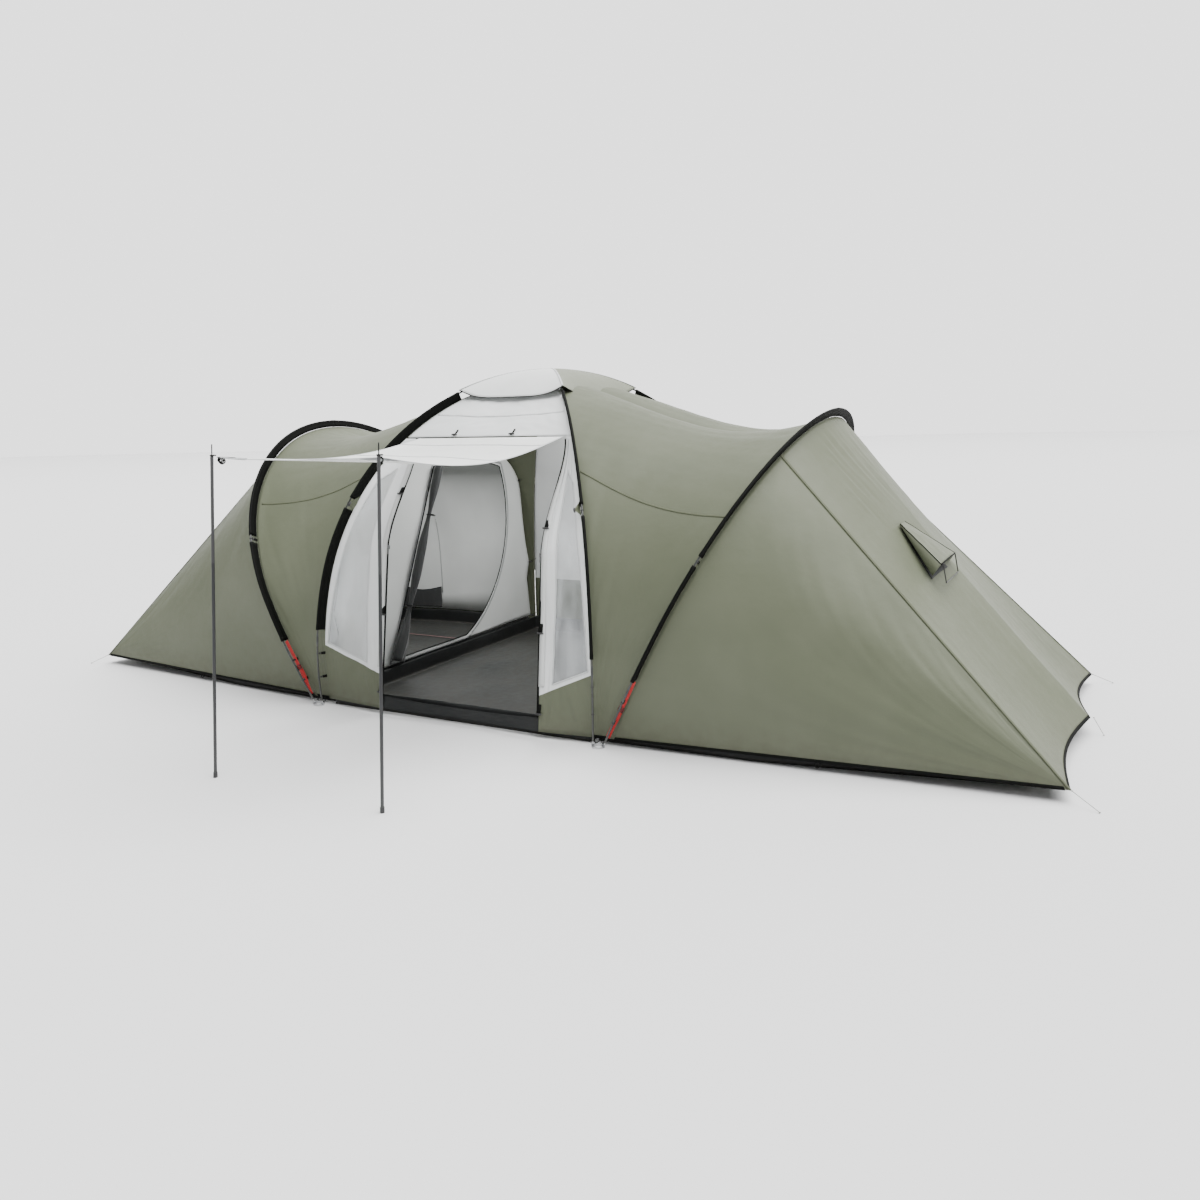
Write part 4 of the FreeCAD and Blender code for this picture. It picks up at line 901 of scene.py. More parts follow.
def crown_radius():
    """Radius of the upper arc of a dome pole, from three of its points."""
    a, b, c = (Vector(DOME(share)) for share in (0.6, 0.8, 1.0))
    sides = (a - b).length, (b - c).length, (c - a).length
    half = sum(sides) / 2
    area = math.sqrt(half * (half - sides[0]) * (half - sides[1]) * (half - sides[2]))
    return sides[0] * sides[1] * sides[2] / (4 * area)


CROWN_R = crown_radius() + CAP_LIFT


def cap_point(a, b):
    """The cap rests on the poles along its diagonals and drapes onto the panels between them."""
    far, near = max(abs(a), abs(b), 1e-6), min(abs(a), abs(b))
    domed = CROWN_R - math.sqrt(CROWN_R ** 2 - (a * cap_corner.x) ** 2 - (b * cap_corner.y) ** 2)
    straight = CROWN_R - math.sqrt(CROWN_R ** 2 - (far * cap_reach) ** 2)
    between = 1 - (near / far) ** 5
    crease = ripple(a * 9, b * 9, 31.0) * 0.002 * between * far ** 2
    drop = lerp(domed, straight, smooth(far) * between) + CAP_DRAPE * between * far ** 4
    return Vector((a * cap_corner.x, b * cap_corner.y, CROWN_Z + CAP_LIFT - drop + crease))


pale_cap = cloth_material("cap_pale_green", (0.16, 0.17, 0.13), (0.19, 0.20, 0.155), gloss=(0.45, 0.6))
cap_front = cloth_material("cap_light_grey", (0.60, 0.61, 0.60), (0.67, 0.68, 0.67), gloss=(0.45, 0.6))
gores = []
for a_way, b_way, number in ((0, -1, 0), (0, 1, 0), (-1, 0, 1), (1, 0, 1)):
    grid = []
    for i in range(29):
        reach = i / 28
        row = []
        for j in range(37):
            aside = (2 * j / 36 - 1) * reach
            row.append(cap_point(aside if a_way == 0 else a_way * reach, aside if b_way == 0 else b_way * reach))
        grid.append(row)
    gores.append((grid, number))
rim = [cap_point(a, b) for a, b in
       [(-1 + i / 20, -1) for i in range(40)] + [(1, -1 + i / 20) for i in range(40)]
       + [(1 - i / 20, 1) for i in range(40)] + [(-1, 1 - i / 20) for i in range(40)]]
area = cut_of(*(grid for grid, _ in gores))[2]
size = 2 * max((rim[20] - cap_point(0, 0)).length, (rim[60] - cap_point(0, 0)).length)
cap = finished("rain_cap", sew(gores, FLY_THICK, lambda p: Vector((0, 0, 1))), [cap_front, pale_cap], "root",
               ["roof_cap"])
min(area, size * size)
cap_trim = bmesh.new()
# Black tube round the lower edge: part binding, part painted shadow for the dark line under the cap's edge.
add_tube(cap_trim, rim, 0.0030, 8, 0, closed=True)
for a_way in (-1, 1):
    shares = [lerp(-0.985, 0.985, i / 60) for i in range(61)]
    line = [cap_point(a_way * t, t) + Vector((0, 0, 0.0004)) for t in shares]
    up = [Vector((p.x * 0.5, p.y * 0.5, 1.0)).normalized() for p in line]
    ribbon(line, up, 0.012, 0.0018, 1, cap_trim)
finished("cap_binding_and_painted_shadow_line", faced(cap_trim), [black_tape, grey_seam], "root")


# Panel over the door and rear wall: light grey coated polyester between the two dome poles. The rear wall has a
# cross seam and a green skirt; toggles over the door hold the flap when it is rolled up.
HINGE_Z = 1.625
FRONT_SAG = 0.020
white_cloth = cloth_material("door_light_grey", (0.60, 0.615, 0.61), (0.68, 0.69, 0.685), gloss=(0.5, 0.65))


def share_at(height, inset=SLEEVE_DEPTH):
    """Share of the dome pole where the cloth under it is at a height."""
    low, high = 0.0, 1.0
    for _ in range(40):
        middle = (low + high) / 2
        low, high = (middle, high) if CORNER.z + DOME(middle, inset)[1] < height else (low, middle)
    return low


def crown_surface(side_y, low, high):
    """Between the dome poles: u along the tent, v from the lower edge up towards the crown."""
    left, right = dome(-1, side_y), dome(1, side_y)

    def surface(u, v):
        share = lerp(low, high, v)
        point = lerp(left(share, SLEEVE_DEPTH), right(share, SLEEVE_DEPTH), u)
        return sagged(point, FRONT_SAG * math.sin(math.pi * u) * math.sin(math.pi * v))
    return surface


def wall_creases(seed, top=1.0):
    """Creases that fan from the lower corners, and a broad shallow unevenness."""
    def creases(u, v):
        free = smooth(u * 14) * smooth((1 - u) * 14) * smooth(v * 14) * smooth((top - v) * 14)
        fan = ripple(math.atan2(v + 0.1, u + 0.02) * 9, math.atan2(v + 0.1, 1.02 - u) * 9, seed) * 0.004
        return (fan + ripple(u * 3, v * 4, seed + 3) * 0.008) * free
    return creases


HINGE_SHARE = share_at(HINGE_Z)
over_door = Cloth(crown_surface(-1, HINGE_SHARE + 0.004, CAP_EDGE + 0.04), wall_creases(41.0))
points = over_door.grid(60, 30, (0.004, 0.996, 0.0, 1.0))
piece = finished("over_door_cloth", sew([(points, 0)], FLY_THICK), [white_cloth], "root",
                 ["overdoor_panel"])

rear = Cloth(crown_surface(1, 0.0, CAP_EDGE + 0.04), wall_creases(45.0))
SKIRT = 0.16
skirt = rear.grid(80, 24, (0.003, 0.997, 0.0, SKIRT))
upper = rear.grid(80, 90, (0.003, 0.997, SKIRT, 1.0))
piece = finished("rear_cloth", sew([(skirt, 0), (upper, 1)], FLY_THICK), [olive_side, white_cloth], "root",
                 ["rear_panel"])

trim = bmesh.new()
shares = [lerp(0.02, 0.98, i / 60) for i in range(61)]
for panel, level in ((over_door, 0.42), (rear, SKIRT), (rear, 0.66)):
    seam_tape(panel, [(u, level) for u in shares], 0.012, 0.0014, 0, trim)
for u in (0.30, 0.66):
    spot, out = over_door.at(u, 0.06, 0.004), over_door.normal(u, 0.06)
    ahead = Vector((1, 0, 0))
    down = out.cross(ahead).normalized()
    down = down if down.z < 0 else -down
    ribbon([spot - down * 0.03, spot, spot + down * 0.030 + out * 0.004], [out] * 3, 0.012, 0.0014, 1, trim)
    barrel(trim, [spot + down * 0.02 - ahead * 0.019 + out * 0.006, spot + down * 0.02 + out * 0.007,
                  spot + down * 0.02 + ahead * 0.019 + out * 0.006], 2)
finished("crown_seams", faced(trim), [grey_seam, black_tape, moulded], "root")


# Front walls beside the doorway: light grey cloth with a clear window film sewn in, a green skirt below and a
# double placket along the zip.
SILL_Z = 0.110
ZIP_SHOULDER_Z = 1.000
ZIP_SILL_Y = -1.240
zip_ends = {"left": (-0.485, -0.530), "right": (0.610, 0.575)}
ZIP_TAPE = 0.012


def zip_point(ends, z):
    """A point of a door zip: straight up to its shoulder, then along the curve of the dome."""
    corner = dome(1, -1)
    if z < ZIP_SHOULDER_Z:
        shoulder = corner(share_at(ZIP_SHOULDER_Z), SLEEVE_DEPTH).y + FRONT_SAG
        y = lerp(ZIP_SILL_Y, shoulder, (z - SILL_Z) / (ZIP_SHOULDER_Z - SILL_Z))
    else:
        above = (z - ZIP_SHOULDER_Z) / (HINGE_Z - ZIP_SHOULDER_Z)
        y = lerp(corner(share_at(z), SLEEVE_DEPTH).y + FRONT_SAG, corner(HINGE_SHARE, SLEEVE_DEPTH).y, above ** 2)
    return Vector((lerp(ends[0], ends[1], (z - SILL_Z) / (HINGE_Z - SILL_Z)), y, z))


def front_surface(side_x, ends):
    """u from the dome pole to the zip, v from the hem to the flap's hinge."""
    corner = dome(side_x, -1)

    def surface(u, v):
        outer = corner(v * HINGE_SHARE, SLEEVE_DEPTH)
        return lerp(outer, zip_point(ends, outer.z), u)
    return surface


wall_lines = (
    ((0.00, 0.0), (0.05, 0.0), (0.74, 0.0), (1.00, 0.0)),
    ((0.00, 0.190), (0.05, 0.186), (0.74, 0.130), (1.00, 0.108)),
    ((0.00, 0.205), (0.05, 0.200), (0.74, 0.146), (1.00, 0.124)),
    ((0.00, 0.780), (0.22, 0.800), (0.60, 0.850), (1.00, 0.880)),
    ((0.00, 1.000), (0.32, 1.000), (0.68, 1.000), (1.00, 1.000)),
)


def wall_patch(panel, row, column, rows, columns, lift=0.0):
    """The stretch of a front wall between two of its lines in each direction."""
    (a, b), (c, d) = wall_lines[row][column:column + 2], wall_lines[row + 1][column:column + 2]
    grid = []
    for i in range(rows + 1):
        t = i / rows
        left, right = (lerp(a[0], c[0], t), lerp(a[1], c[1], t)), (lerp(b[0], d[0], t), lerp(b[1], d[1], t))
        grid.append([panel.at(lerp(left[0], right[0], j / columns), lerp(left[1], right[1], j / columns), lift)
                     for j in range(columns + 1)])
    return grid


def film_material():
    """Clear vinyl: thin, a little milky, with soft ripples that catch the light."""
    material = bpy.data.materials.new("window_film")
    material.use_nodes = True
    tree = material.node_tree
    shader = tree.nodes["Principled BSDF"]
    place = make_node(tree, "ShaderNodeTexCoord").outputs["Object"]
    stretched = make_node(tree, "ShaderNodeMapping", [("Vector", place), ("Scale", (3.0, 3.0, 1.0))]).outputs[0]
    waves = make_node(tree, "ShaderNodeTexNoise", [("Vector", stretched), ("Scale", 2.4), ("Detail", 2.0)]).outputs[0]
    bump = make_node(tree, "ShaderNodeBump", [("Height", waves), ("Distance", 0.02), ("Strength", 0.6)]).outputs[0]
    tree.links.new(bump, shader.inputs["Normal"])
    haze = ranged(tree, waves, 0.35, 0.65, 0.10, 0.26)
    tree.links.new(haze, shader.inputs["Alpha"])
    shader.inputs["Base Color"].default_value = (0.82, 0.85, 0.87, 1)
    shader.inputs["Roughness"].default_value = 0.06
    shader.inputs["IOR"].default_value = 1.5
    shader.inputs["Coat Weight"].default_value = 0.5
    return material


film = film_material()
PLACKET_AT = 0.955
placket_cloth = cloth_material("placket_grey", (0.50, 0.51, 0.50), (0.56, 0.57, 0.56), gloss=(0.5, 0.65))
front_walls = {}
for side, end in ((-1, "left"), (1, "right")):
    panel = Cloth(front_surface(side, zip_ends[end]), wall_creases(51.0 + side))
    front_walls[end] = panel
    patches = []
    for row in range(4):
        for column in range(3):
            if (row, column) != (2, 1):
                number = 0 if row == 0 else 1
                patches.append((wall_patch(panel, row, column, (10, 4, 60, 16)[row], (8, 34, 16)[column]), number))
    piece = finished("front_wall_cloth_" + end, sew(patches, FLY_THICK), [olive_side, white_cloth], "root",
                     ["front_wall_" + end])
    width, length, _ = cut_of(panel.grid(40, 60))
    area = cut_of(*(grid for grid, _ in patches))[2]
    pane = wall_patch(panel, 2, 1, 60, 34, -0.0026)
    piece = finished("window_film_" + end, sew([(pane, 0)], 0.0005), [film], "root",
                     ["front_windows"])
    frame_seam = bmesh.new()
    ring = [wall_lines[2][1], wall_lines[2][2], wall_lines[3][2], wall_lines[3][1], wall_lines[2][1]]
    for (u0, v0), (u1, v1) in zip(ring, ring[1:]):
        spots = [(lerp(u0, u1, i / 40), lerp(v0, v1, i / 40)) for i in range(41)]
        seam_tape(panel, spots, 0.009, 0.0012, 0, frame_seam)
    seam_tape(panel, [(PLACKET_AT, lerp(0.135, 0.985, i / 90)) for i in range(91)], 0.036, 0.0022, 1, frame_seam,
              0.0006)
    finished("window_frame_seams_" + end, faced(frame_seam), [grey_seam, placket_cloth], "root")


# Door zips: woven tape sewn to the placket, with a row of coiled teeth on its free edge, and fabric tabs with
# toggles where the flap is tied back. The sliders are cast and enamelled black.
ties = bmesh.new()
for side, end in ((-1, "left"), (1, "right")):
    ends, inward = zip_ends[end], Vector((-side, 0, 0))
    levels = [lerp(SILL_Z, HINGE_Z - 0.012, i / 120) for i in range(121)]
    line = [zip_point(ends, z) for z in levels]
    normals = [Vector((0, a.z - b.z, b.y - a.y)).normalized() for a, b in
               zip(line[1:] + line[-1:], line[:1] + line[:-1])]
    normals = [n if n.y < 0 else -n for n in normals]
    ribbon([p + inward * (ZIP_TAPE / 2 + 0.001) for p in line], normals, ZIP_TAPE, 0.0012, 0, ties)
    teeth = [p + inward * (ZIP_TAPE - 0.0005) + n * 0.0006 for p, n in zip(line, normals)]
    add_tube(ties, teeth, 0.0017, 8, 0)
    for z in ((1.135, 0.577, 0.150) if side > 0 else (1.30, 0.60, 0.150)):
        spot = zip_point(ends, z) - inward * 0.004
        out = normals[min(120, int((z - SILL_Z) / (HINGE_Z - SILL_Z) * 120))]
        down = Vector((0, out.z, -out.y)).normalized()
        down = down if down.z < 0 else -down
        ribbon([spot - down * 0.030 + out * 0.003, spot + out * 0.005, spot + down * 0.026 + out * 0.010], [out] * 3,
               0.026, 0.0016, 0, ties)
        barrel(ties, [spot + down * 0.020 - inward * 0.020 + out * 0.011, spot + down * 0.022 + out * 0.0125,
                      spot + down * 0.020 + inward * 0.020 + out * 0.011], 1, 0.0042, 0.0018)
finished("door_zips_and_ties", faced(ties), [black_tape, moulded], "root", ["door_zip_tapes"])
enamel = hard_material("black_enamel", (0.015, 0.015, 0.015), (0.30, 0.30, 0.30), (0.25, 0.45), 0.6, metallic=0.6)
for node in ("door_zip_slider_left", "door_zip_slider_right", "cabin_zip_slider_left", "cabin_zip_slider_right"):
    refinish(node, enamel)


# Door flap, held out as a canopy: near-white coated polyester, hinged along the seam over the door. It sags between
# its corners, its cut edges are drawn in, and grey patches with webbing loops reinforce the corners.
FLAP_RUN = 1.600
FLAP_HINGE = Vector((0.0, -0.80008, 1.62500))
FLAP_BENDS = (0.360, 0.900)
flap_cloth = cloth_material("flap_near_white", (0.66, 0.67, 0.65), (0.74, 0.75, 0.73), pucker=0.7, gloss=(0.45, 0.6))
flap_patch = cloth_material("corner_patch_grey", (0.26, 0.27, 0.27), (0.31, 0.32, 0.32), thread=0.003)
slope_marks = ((0.0, 9.0), (0.18, 8.0), (0.63, 2.5), (1.25, -3.0), (1.60, -3.4))


def flap_line(run):
    """Distance out and height on the canopy's middle line, by the run along its cloth."""
    y, z, steps = FLAP_HINGE.y, FLAP_HINGE.z, 80
    for i in range(steps):
        here = run * (i + 0.5) / steps
        for (run_a, slope_a), (run_b, slope_b) in zip(slope_marks, slope_marks[1:]):
            if run_a <= here <= run_b:
                slope = math.radians(lerp(slope_a, slope_b, (here - run_a) / (run_b - run_a)))
        y -= math.cos(slope) * run / steps
        z -= math.sin(slope) * run / steps
    return y, z


FLAP_STEPS = 160
flap_lines = [flap_line(FLAP_RUN * i / FLAP_STEPS) for i in range(FLAP_STEPS + 1)]


def flap_surface(u, v):
    """u from the left edge to the right edge, v from the hinge to the free edge."""
    place = v * FLAP_STEPS
    low = min(FLAP_STEPS - 1, int(place))
    y = lerp(flap_lines[low][0], flap_lines[low + 1][0], place - low)
    z = lerp(flap_lines[low][1], flap_lines[low + 1][1], place - low)
    drawn = math.sin(math.pi * v)
    x = lerp(-0.500 + 0.022 * drawn, lerp(0.550, 0.532, v) - 0.022 * drawn, u)
    belly = math.sin(math.pi * v) * (0.008 + 0.034 * u ** 3 + 0.010 * math.sin(math.pi * u))
    edge = math.sin(math.pi * u) * v ** 8
    return Vector((x, y + 0.030 * edge, z - belly - 0.014 * edge + 0.004 * v ** 6))


def flap_creases(u, v):
    free = smooth(v * 20)
    corner_a = math.hypot(u, 1 - v)
    corner_b = math.hypot(1 - u, 1 - v)
    fan = 0.0
    for reach, angle, seed in ((corner_a, math.atan2(1 - v, u + 1e-4), 61.0),
                               (corner_b, math.atan2(1 - v, 1 - u + 1e-4), 62.0)):
        fan += ripple(angle * 9, reach * 1.5, seed) * 0.007 * math.exp(-reach * 3.2) * smooth(reach * 8)
    hinge = ripple(u * 34, v * 3, 64.0) * 0.005 * math.exp(-v * 9)
    return (fan + ripple(u * 4, v * 3, 63.0) * 0.006) * free + hinge * free


flap = Cloth(flap_surface, flap_creases, lambda p: Vector((0, 0, 1)))
SPLITS = (0.0, 0.195 / FLAP_RUN, 0.62 / FLAP_RUN, 1.0)
hinge_at = [Vector((0.0, *flap_line(bend))) for bend in FLAP_BENDS]
joints = (
    ("root", "door_flap_upper", FLAP_HINGE, 0.012, 0.110),
    ("door_flap_upper", "door_flap_middle", hinge_at[0], -0.130, 0.130),
    ("door_flap_middle", "door_flap_lower", hinge_at[1], -0.240, 0.240),
)
for index, (name, (body_a, body_b, middle, back, ahead)) in enumerate(zip(("hinge", "middle", "outer"), joints)):
    v0, v1 = SPLITS[index], SPLITS[index + 1]
    rows, columns = 70, (14, 34, 80)[index]
    points = flap.grid(rows, columns, (0.0, 1.0, v0, v1))
    piece = finished("flap_" + name + "_cloth", sew([(points, 0)], FLY_THICK, lambda p: Vector((0, 0, 1))),
                     [flap_cloth], None, ["door_flap_" + ("upper", "middle", "lower")[index]])
    way = Vector((0.0, -1.0, 0.0))
    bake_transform(piece)
    edges = bmesh.new()
    for u, near in ((0.0, 0.02), (1.0, 0.98)):
        line = [flap.at(u, lerp(v0, v1, i / columns)) for i in range(columns + 1)]
        inner = [flap.at(near, lerp(v0, v1, i / columns)) for i in range(columns + 1)]
        binding(line, [(b - a).normalized() for a, b in zip(line, inner)], 0.012, 0.0034, edges)
    if index == 2:
        line = [flap.at(i / 90, 1.0) for i in range(91)]
        inner = [flap.at(i / 90, 0.985) for i in range(91)]
        binding(line, [(b - a).normalized() for a, b in zip(line, inner)], 0.012, 0.0034, edges)
    if index:
        spots = [(lerp(0.004, 0.996, i / 60), v0 + 0.004) for i in range(61)]
        seam_tape(flap, spots, 0.013, 0.0014, 0, edges)
    trim = finished("flap_" + name + "_edges", faced(edges), [grey_seam], None)
    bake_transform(trim)

corners = bmesh.new()
for side, u_corner in ((-1, 0.0), (1, 1.0)):
    inward = -1 if u_corner else 1
    for lift in (0.0012, -0.0030):
        patch = []
        for i in range(15):
            row = []
            for j in range(15):
                a, b = i / 14 * 0.13, j / 14 * 0.085
                reach = 1 - 0.35 * (i / 14) * (j / 14)
                row.append(flap.at(u_corner + inward * (a * reach + 0.004), 0.996 - b * reach, lift))
            patch.append(row)
        rows = [[corners.verts.new(p) for p in row] for row in patch]
        for i in range(14):
            for j in range(14):
                corners.faces.new((rows[i][j], rows[i][j + 1], rows[i + 1][j + 1], rows[i + 1][j]))
bmesh.ops.recalc_face_normals(corners, faces=corners.faces)
bmesh.ops.solidify(corners, geom=corners.faces[:], thickness=0.0009)
for side in (-1, 1):
    corner = flap.at(0.0 if side < 0 else 1.0, 1.0)
    inner = flap.at(0.06 if side < 0 else 0.94, 0.97)
    away = (corner - inner).normalized()
    ring_edge = corner + away * 0.004
    for tilt in (-0.0035, 0.0035):
        line = [inner + Vector((0, 0, tilt)), corner + Vector((0, 0, tilt * 0.7)), ring_edge]
        ribbon(line, [Vector((0, 0, 1))] * 3, 0.020, 0.0014, 1, corners)
    bundle = corner + Vector((0.004 * -side, 0.012, -0.012))
    for turn in range(5 if side < 0 else 2):
        size = 0.0095 + 0.0012 * turn
        add_tube(corners, arc(bundle + Vector((0.0015 * turn, 0.003 * turn - 0.006, -0.002 * turn)),
                              Vector((0.45, 0.89, 0)).normalized(), Vector((0.1, 0, 1)).normalized(), size,
                              turn * 17, 352 + turn * 17, 20), 0.0022, 6, 2)
finished("flap_corner_patches", faced(corners), [flap_patch, black_tape, black_tape], "door_flap_lower")


# Canopy poles: painted steel tubes in three swaged sections, with a spike, a rubber foot and the flap's loop.
pole_paint = hard_material("canopy_pole_paint", (0.022, 0.023, 0.024), (0.12, 0.12, 0.12), (0.35, 0.55), 0.3,
                           shine=0.2)
pole_ends = hard_material("spike_and_foot", (0.010, 0.010, 0.010), (0.10, 0.10, 0.10), (0.4, 0.6), 0.4,
                          shine=0.15)
for end in ("left", "right"):
    refinish("canopy_pole_" + end, pole_paint)
    refinish("canopy_pole_fittings_" + end, pole_ends)


# Groundsheet of the living space and floors of the cabins: woven polyethylene trays with upright edges, lying in
# soft wrinkles on the ground.
floor_grey = cloth_material("groundsheet_weave", (0.024, 0.027, 0.026), (0.038, 0.041, 0.040), thread=0.003,
                            pucker=1.0, gloss=(0.42, 0.65), grime=0.01)
tub_black = cloth_material("tub_wall_black", (0.012, 0.013, 0.013), (0.020, 0.021, 0.021), thread=0.003, pucker=1.0,
                           gloss=(0.4, 0.6), grime=0.02)
TUB_WALL = 0.110
TUB_CLOTH = 0.0012


def tray(name, outline, seed, node):
    """A floor from a four- or six-cornered outline: front side, then rear side, each from left to right."""
    front, rear = outline
    rows, columns = 56, 56

    def along(line, t):
        lengths = [(b - a).length for a, b in zip(line, line[1:])]
        run = t * sum(lengths)
        for (a, b), piece_length in zip(zip(line, line[1:]), lengths):
            if run <= piece_length + 1e-9:
                return a.lerp(b, run / piece_length)
            run -= piece_length
        return line[-1]

    def flat(u, v):
        point = along(front, u).lerp(along(rear, u), v)
        near = smooth(min(u, 1 - u) * 14) * smooth(min(v, 1 - v) * 14)
        rise = (abs(ripple(point.x * 3.1, point.y * 2.3, seed)) * 0.007
                + abs(ripple(point.x * 9 + point.y * 4, point.y * 7, seed + 1)) * 0.004) * near
        return Vector((point.x, point.y, TUB_CLOTH + 0.0008 + rise))
    floor = [[flat(j / columns, i / rows) for j in range(columns + 1)] for i in range(rows + 1)]
    rim = ([floor[0][j] for j in range(columns)] + [floor[i][-1] for i in range(rows)]
           + [floor[-1][j] for j in range(columns, 0, -1)] + [floor[i][0] for i in range(rows, -1, -1)])
    centre = sum(rim, Vector()) / len(rim)
    wall = []
    for k in range(9):
        t = k / 8
        line = []
        for i, point in enumerate(rim):
            run = i / len(rim)
            out = (point - centre).normalized()
            wave = ripple(run * 70, t * 1.5, seed + 2) * 0.006 * t + ripple(run * 18, 0.5, seed + 3) * 0.008 * t
            inset = -0.004 - 0.004 * math.sin(math.pi * t)
            lift = ripple(run * 26, 1.5, seed + 4) * 0.006 * t
            line.append(Vector((point.x, point.y, lerp(point.z, TUB_WALL - 0.008, t) + lift))
                        + Vector((out.x, out.y, 0)) * (wave + inset * t - 0.006 * t))
        wall.append(line)
    maker = sew([(floor, 0), (wall, 1)], TUB_CLOTH, lambda p: Vector((0, 0, 1)))
    piece = finished(name, maker, [floor_grey, tub_black], "root", [node])


tray("groundsheet_tray", (
    [Vector((-0.896, -1.186, 0)), Vector((0.896, -1.186, 0))],
    [Vector((-0.896, 1.186, 0)), Vector((0.896, 1.186, 0))]), 71.0, "groundsheet")
for side, end in ((-1, "left"), (1, "right")):
    front = [Vector((side * x, -y, 0)) for x, y in ((0.936, 1.146), (1.800, 1.116), (2.956, 0.926))]
    rear_line = [Vector((p.x, -p.y, 0)) for p in front]
    tray("cabin_floor_tray_" + end, (front, rear_line), 74.0 + side, "cabin_floor_" + end)


# Floor stripes: two thin reddish lines woven along each cabin floor.
stripe = bmesh.new()
pink_thread = cloth_material("floor_stripe_thread", (0.22, 0.12, 0.12), (0.26, 0.15, 0.15), thread=0.003,
                             grime=0.01)
for side in (-1, 1):
    for way in (-0.56, 0.56):
        line = [Vector((side * lerp(0.96, 2.40, i / 60), way, 0.0125)) for i in range(61)]
        ribbon(line, [Vector((0, 0, 1))] * 61, 0.012, 0.0010, 0, stripe)
finished("groundsheet_stripes", faced(stripe), [pink_thread], "root")


# Door sill: a dark coated band from the groundsheet's front edge up to the zips' lower ends.
sill = Cloth(lambda u, v: Vector((lerp(-0.485, 0.610, u), lerp(-1.238, -1.226, v) + 0.020 * math.sin(math.pi * u) ** 2,
                                  lerp(0.034, SILL_Z - 0.004, v) - 0.020 * math.sin(math.pi * u) * v)),
             lambda u, v: ripple(u * 14, v * 2, 81.0) * 0.006 * smooth(v * 4) * smooth(u * 8) * smooth((1 - u) * 8),
             lambda p: Vector((0, -1, 0)))
points = sill.grid(80, 12)
piece = finished("door_sill_cloth", sew([(points, 0)], FLY_THICK, lambda p: Vector((0, -1, 0))), [tub_black], "root")
width, length, area = cut_of(points)
max(length, area / width)


# Cabins: inner tents of pale breathable polyester, hung inside each tunnel, with upright walls towards the living
# space. Each wall has a D-shaped door with dark piping, and its mesh curtain is rolled to the front and tied.
cabin_cloth = cloth_material("cabin_pale_grey", (0.55, 0.565, 0.55), (0.62, 0.635, 0.62), thread=0.0015, pucker=0.4,
                             gloss=(0.65, 0.8), grime=0.12, sheen=0.1)
cabin_seam = seam_material("cabin_seam_grey", (0.33, 0.34, 0.34), (0.38, 0.39, 0.39), (0.22, 0.22, 0.22))
CABIN_WALL_X = 0.932
CABIN_PLACES = (0.932, 1.800, 2.960)
CABIN_HEIGHTS = (1.520, 1.470, 0.200)
CABIN_WIDTHS = (1.150, 1.120, 0.930)
CABIN_SQUARE = (4.0, 3.0, 4.0)
CABIN_HOOKS = (0.115, 0.54, 1.22)
SCALLOP = 0.055
KNEE = 0.45


def cabin_surface(side_x):
    """u from the living space to the end, v from the front edge over the ridge to the rear edge."""
    def surface(u, v):
        first, part = (0, u / KNEE) if u < KNEE else (1, (u - KNEE) / (1 - KNEE))
        x, height, width, square = (lerp(sizes[first], sizes[first + 1], part) for sizes in
                                    (CABIN_PLACES, CABIN_HEIGHTS, CABIN_WIDTHS, CABIN_SQUARE))
        way, turn = (-1, v * math.pi) if v < 0.5 else (1, (1 - v) * math.pi)
        low = TUB_WALL + 0.0015
        y = width * max(0.0, math.cos(turn)) ** (2 / square)
        z = low + (height - low) * math.sin(turn) ** (2 / square)
        for hook, above in zip(CABIN_HOOKS, CABIN_HOOKS[1:]):
            if hook < z < above:
                between = (z - hook) / (above - hook)
                y -= SCALLOP * 4 * between * (1 - between) * max(0.0, 1 - u / 0.10) ** 2
        return Vector((side_x * x, way * y, z))
    return surface


def cabin_creases(seed):
    """Cloth that hangs loose from its hooks: swags between them and soft folds below."""
    def creases(u, v):
        free = smooth(u * 16) * smooth(v * 16) * smooth((1 - v) * 16) * smooth((1 - u) * 10)
        swag = -0.020 * abs(math.sin(u * math.pi * 4)) * math.exp(-((v - 0.5) * 5) ** 2)
        return (swag + ripple(u * 9, v * 5, seed) * 0.014 + ripple(u * 30, v * 8, seed + 2) * 0.004 - 0.010) * free
    return creases


door_corners = [Vector(p) for p in ((0, -0.600, 0.132), (0, -0.100, 1.405), (0, 0.740, 1.360), (0, 0.250, 0.132))]


def arc_through(a, b, c, steps):
    """Points of the arc from a over b to c, in the wall's plane."""
    ax, ay, bx, by, cx, cy = a.y, a.z, b.y, b.z, c.y, c.z
    d = 2 * (ax * (by - cy) + bx * (cy - ay) + cx * (ay - by))
    ux = ((ax * ax + ay * ay) * (by - cy) + (bx * bx + by * by) * (cy - ay) + (cx * cx + cy * cy) * (ay - by)) / d
    uy = ((ax * ax + ay * ay) * (cx - bx) + (bx * bx + by * by) * (ax - cx) + (cx * cx + cy * cy) * (bx - ax)) / d
    radius = math.hypot(ax - ux, ay - uy)
    first, last = math.atan2(ay - uy, ax - ux), math.atan2(cy - uy, cx - ux)
    while last > first:
        last -= math.tau
    return [Vector((0, ux + radius * math.cos(lerp(first, last, i / steps)),
                    uy + radius * math.sin(lerp(first, last, i / steps)))) for i in range(steps + 1)]


door_line = [door_corners[0].lerp(door_corners[1], i / 40) for i in range(40)]
door_line += arc_through(door_corners[1], Vector((0, 0.350, 1.425)), door_corners[2], 24)[:-1]
door_line += arc_through(door_corners[2], Vector((0, 0.735, 0.600)), door_corners[3], 44)[:-1]
door_line += [door_corners[3].lerp(door_corners[0], i / 24) for i in range(24)]


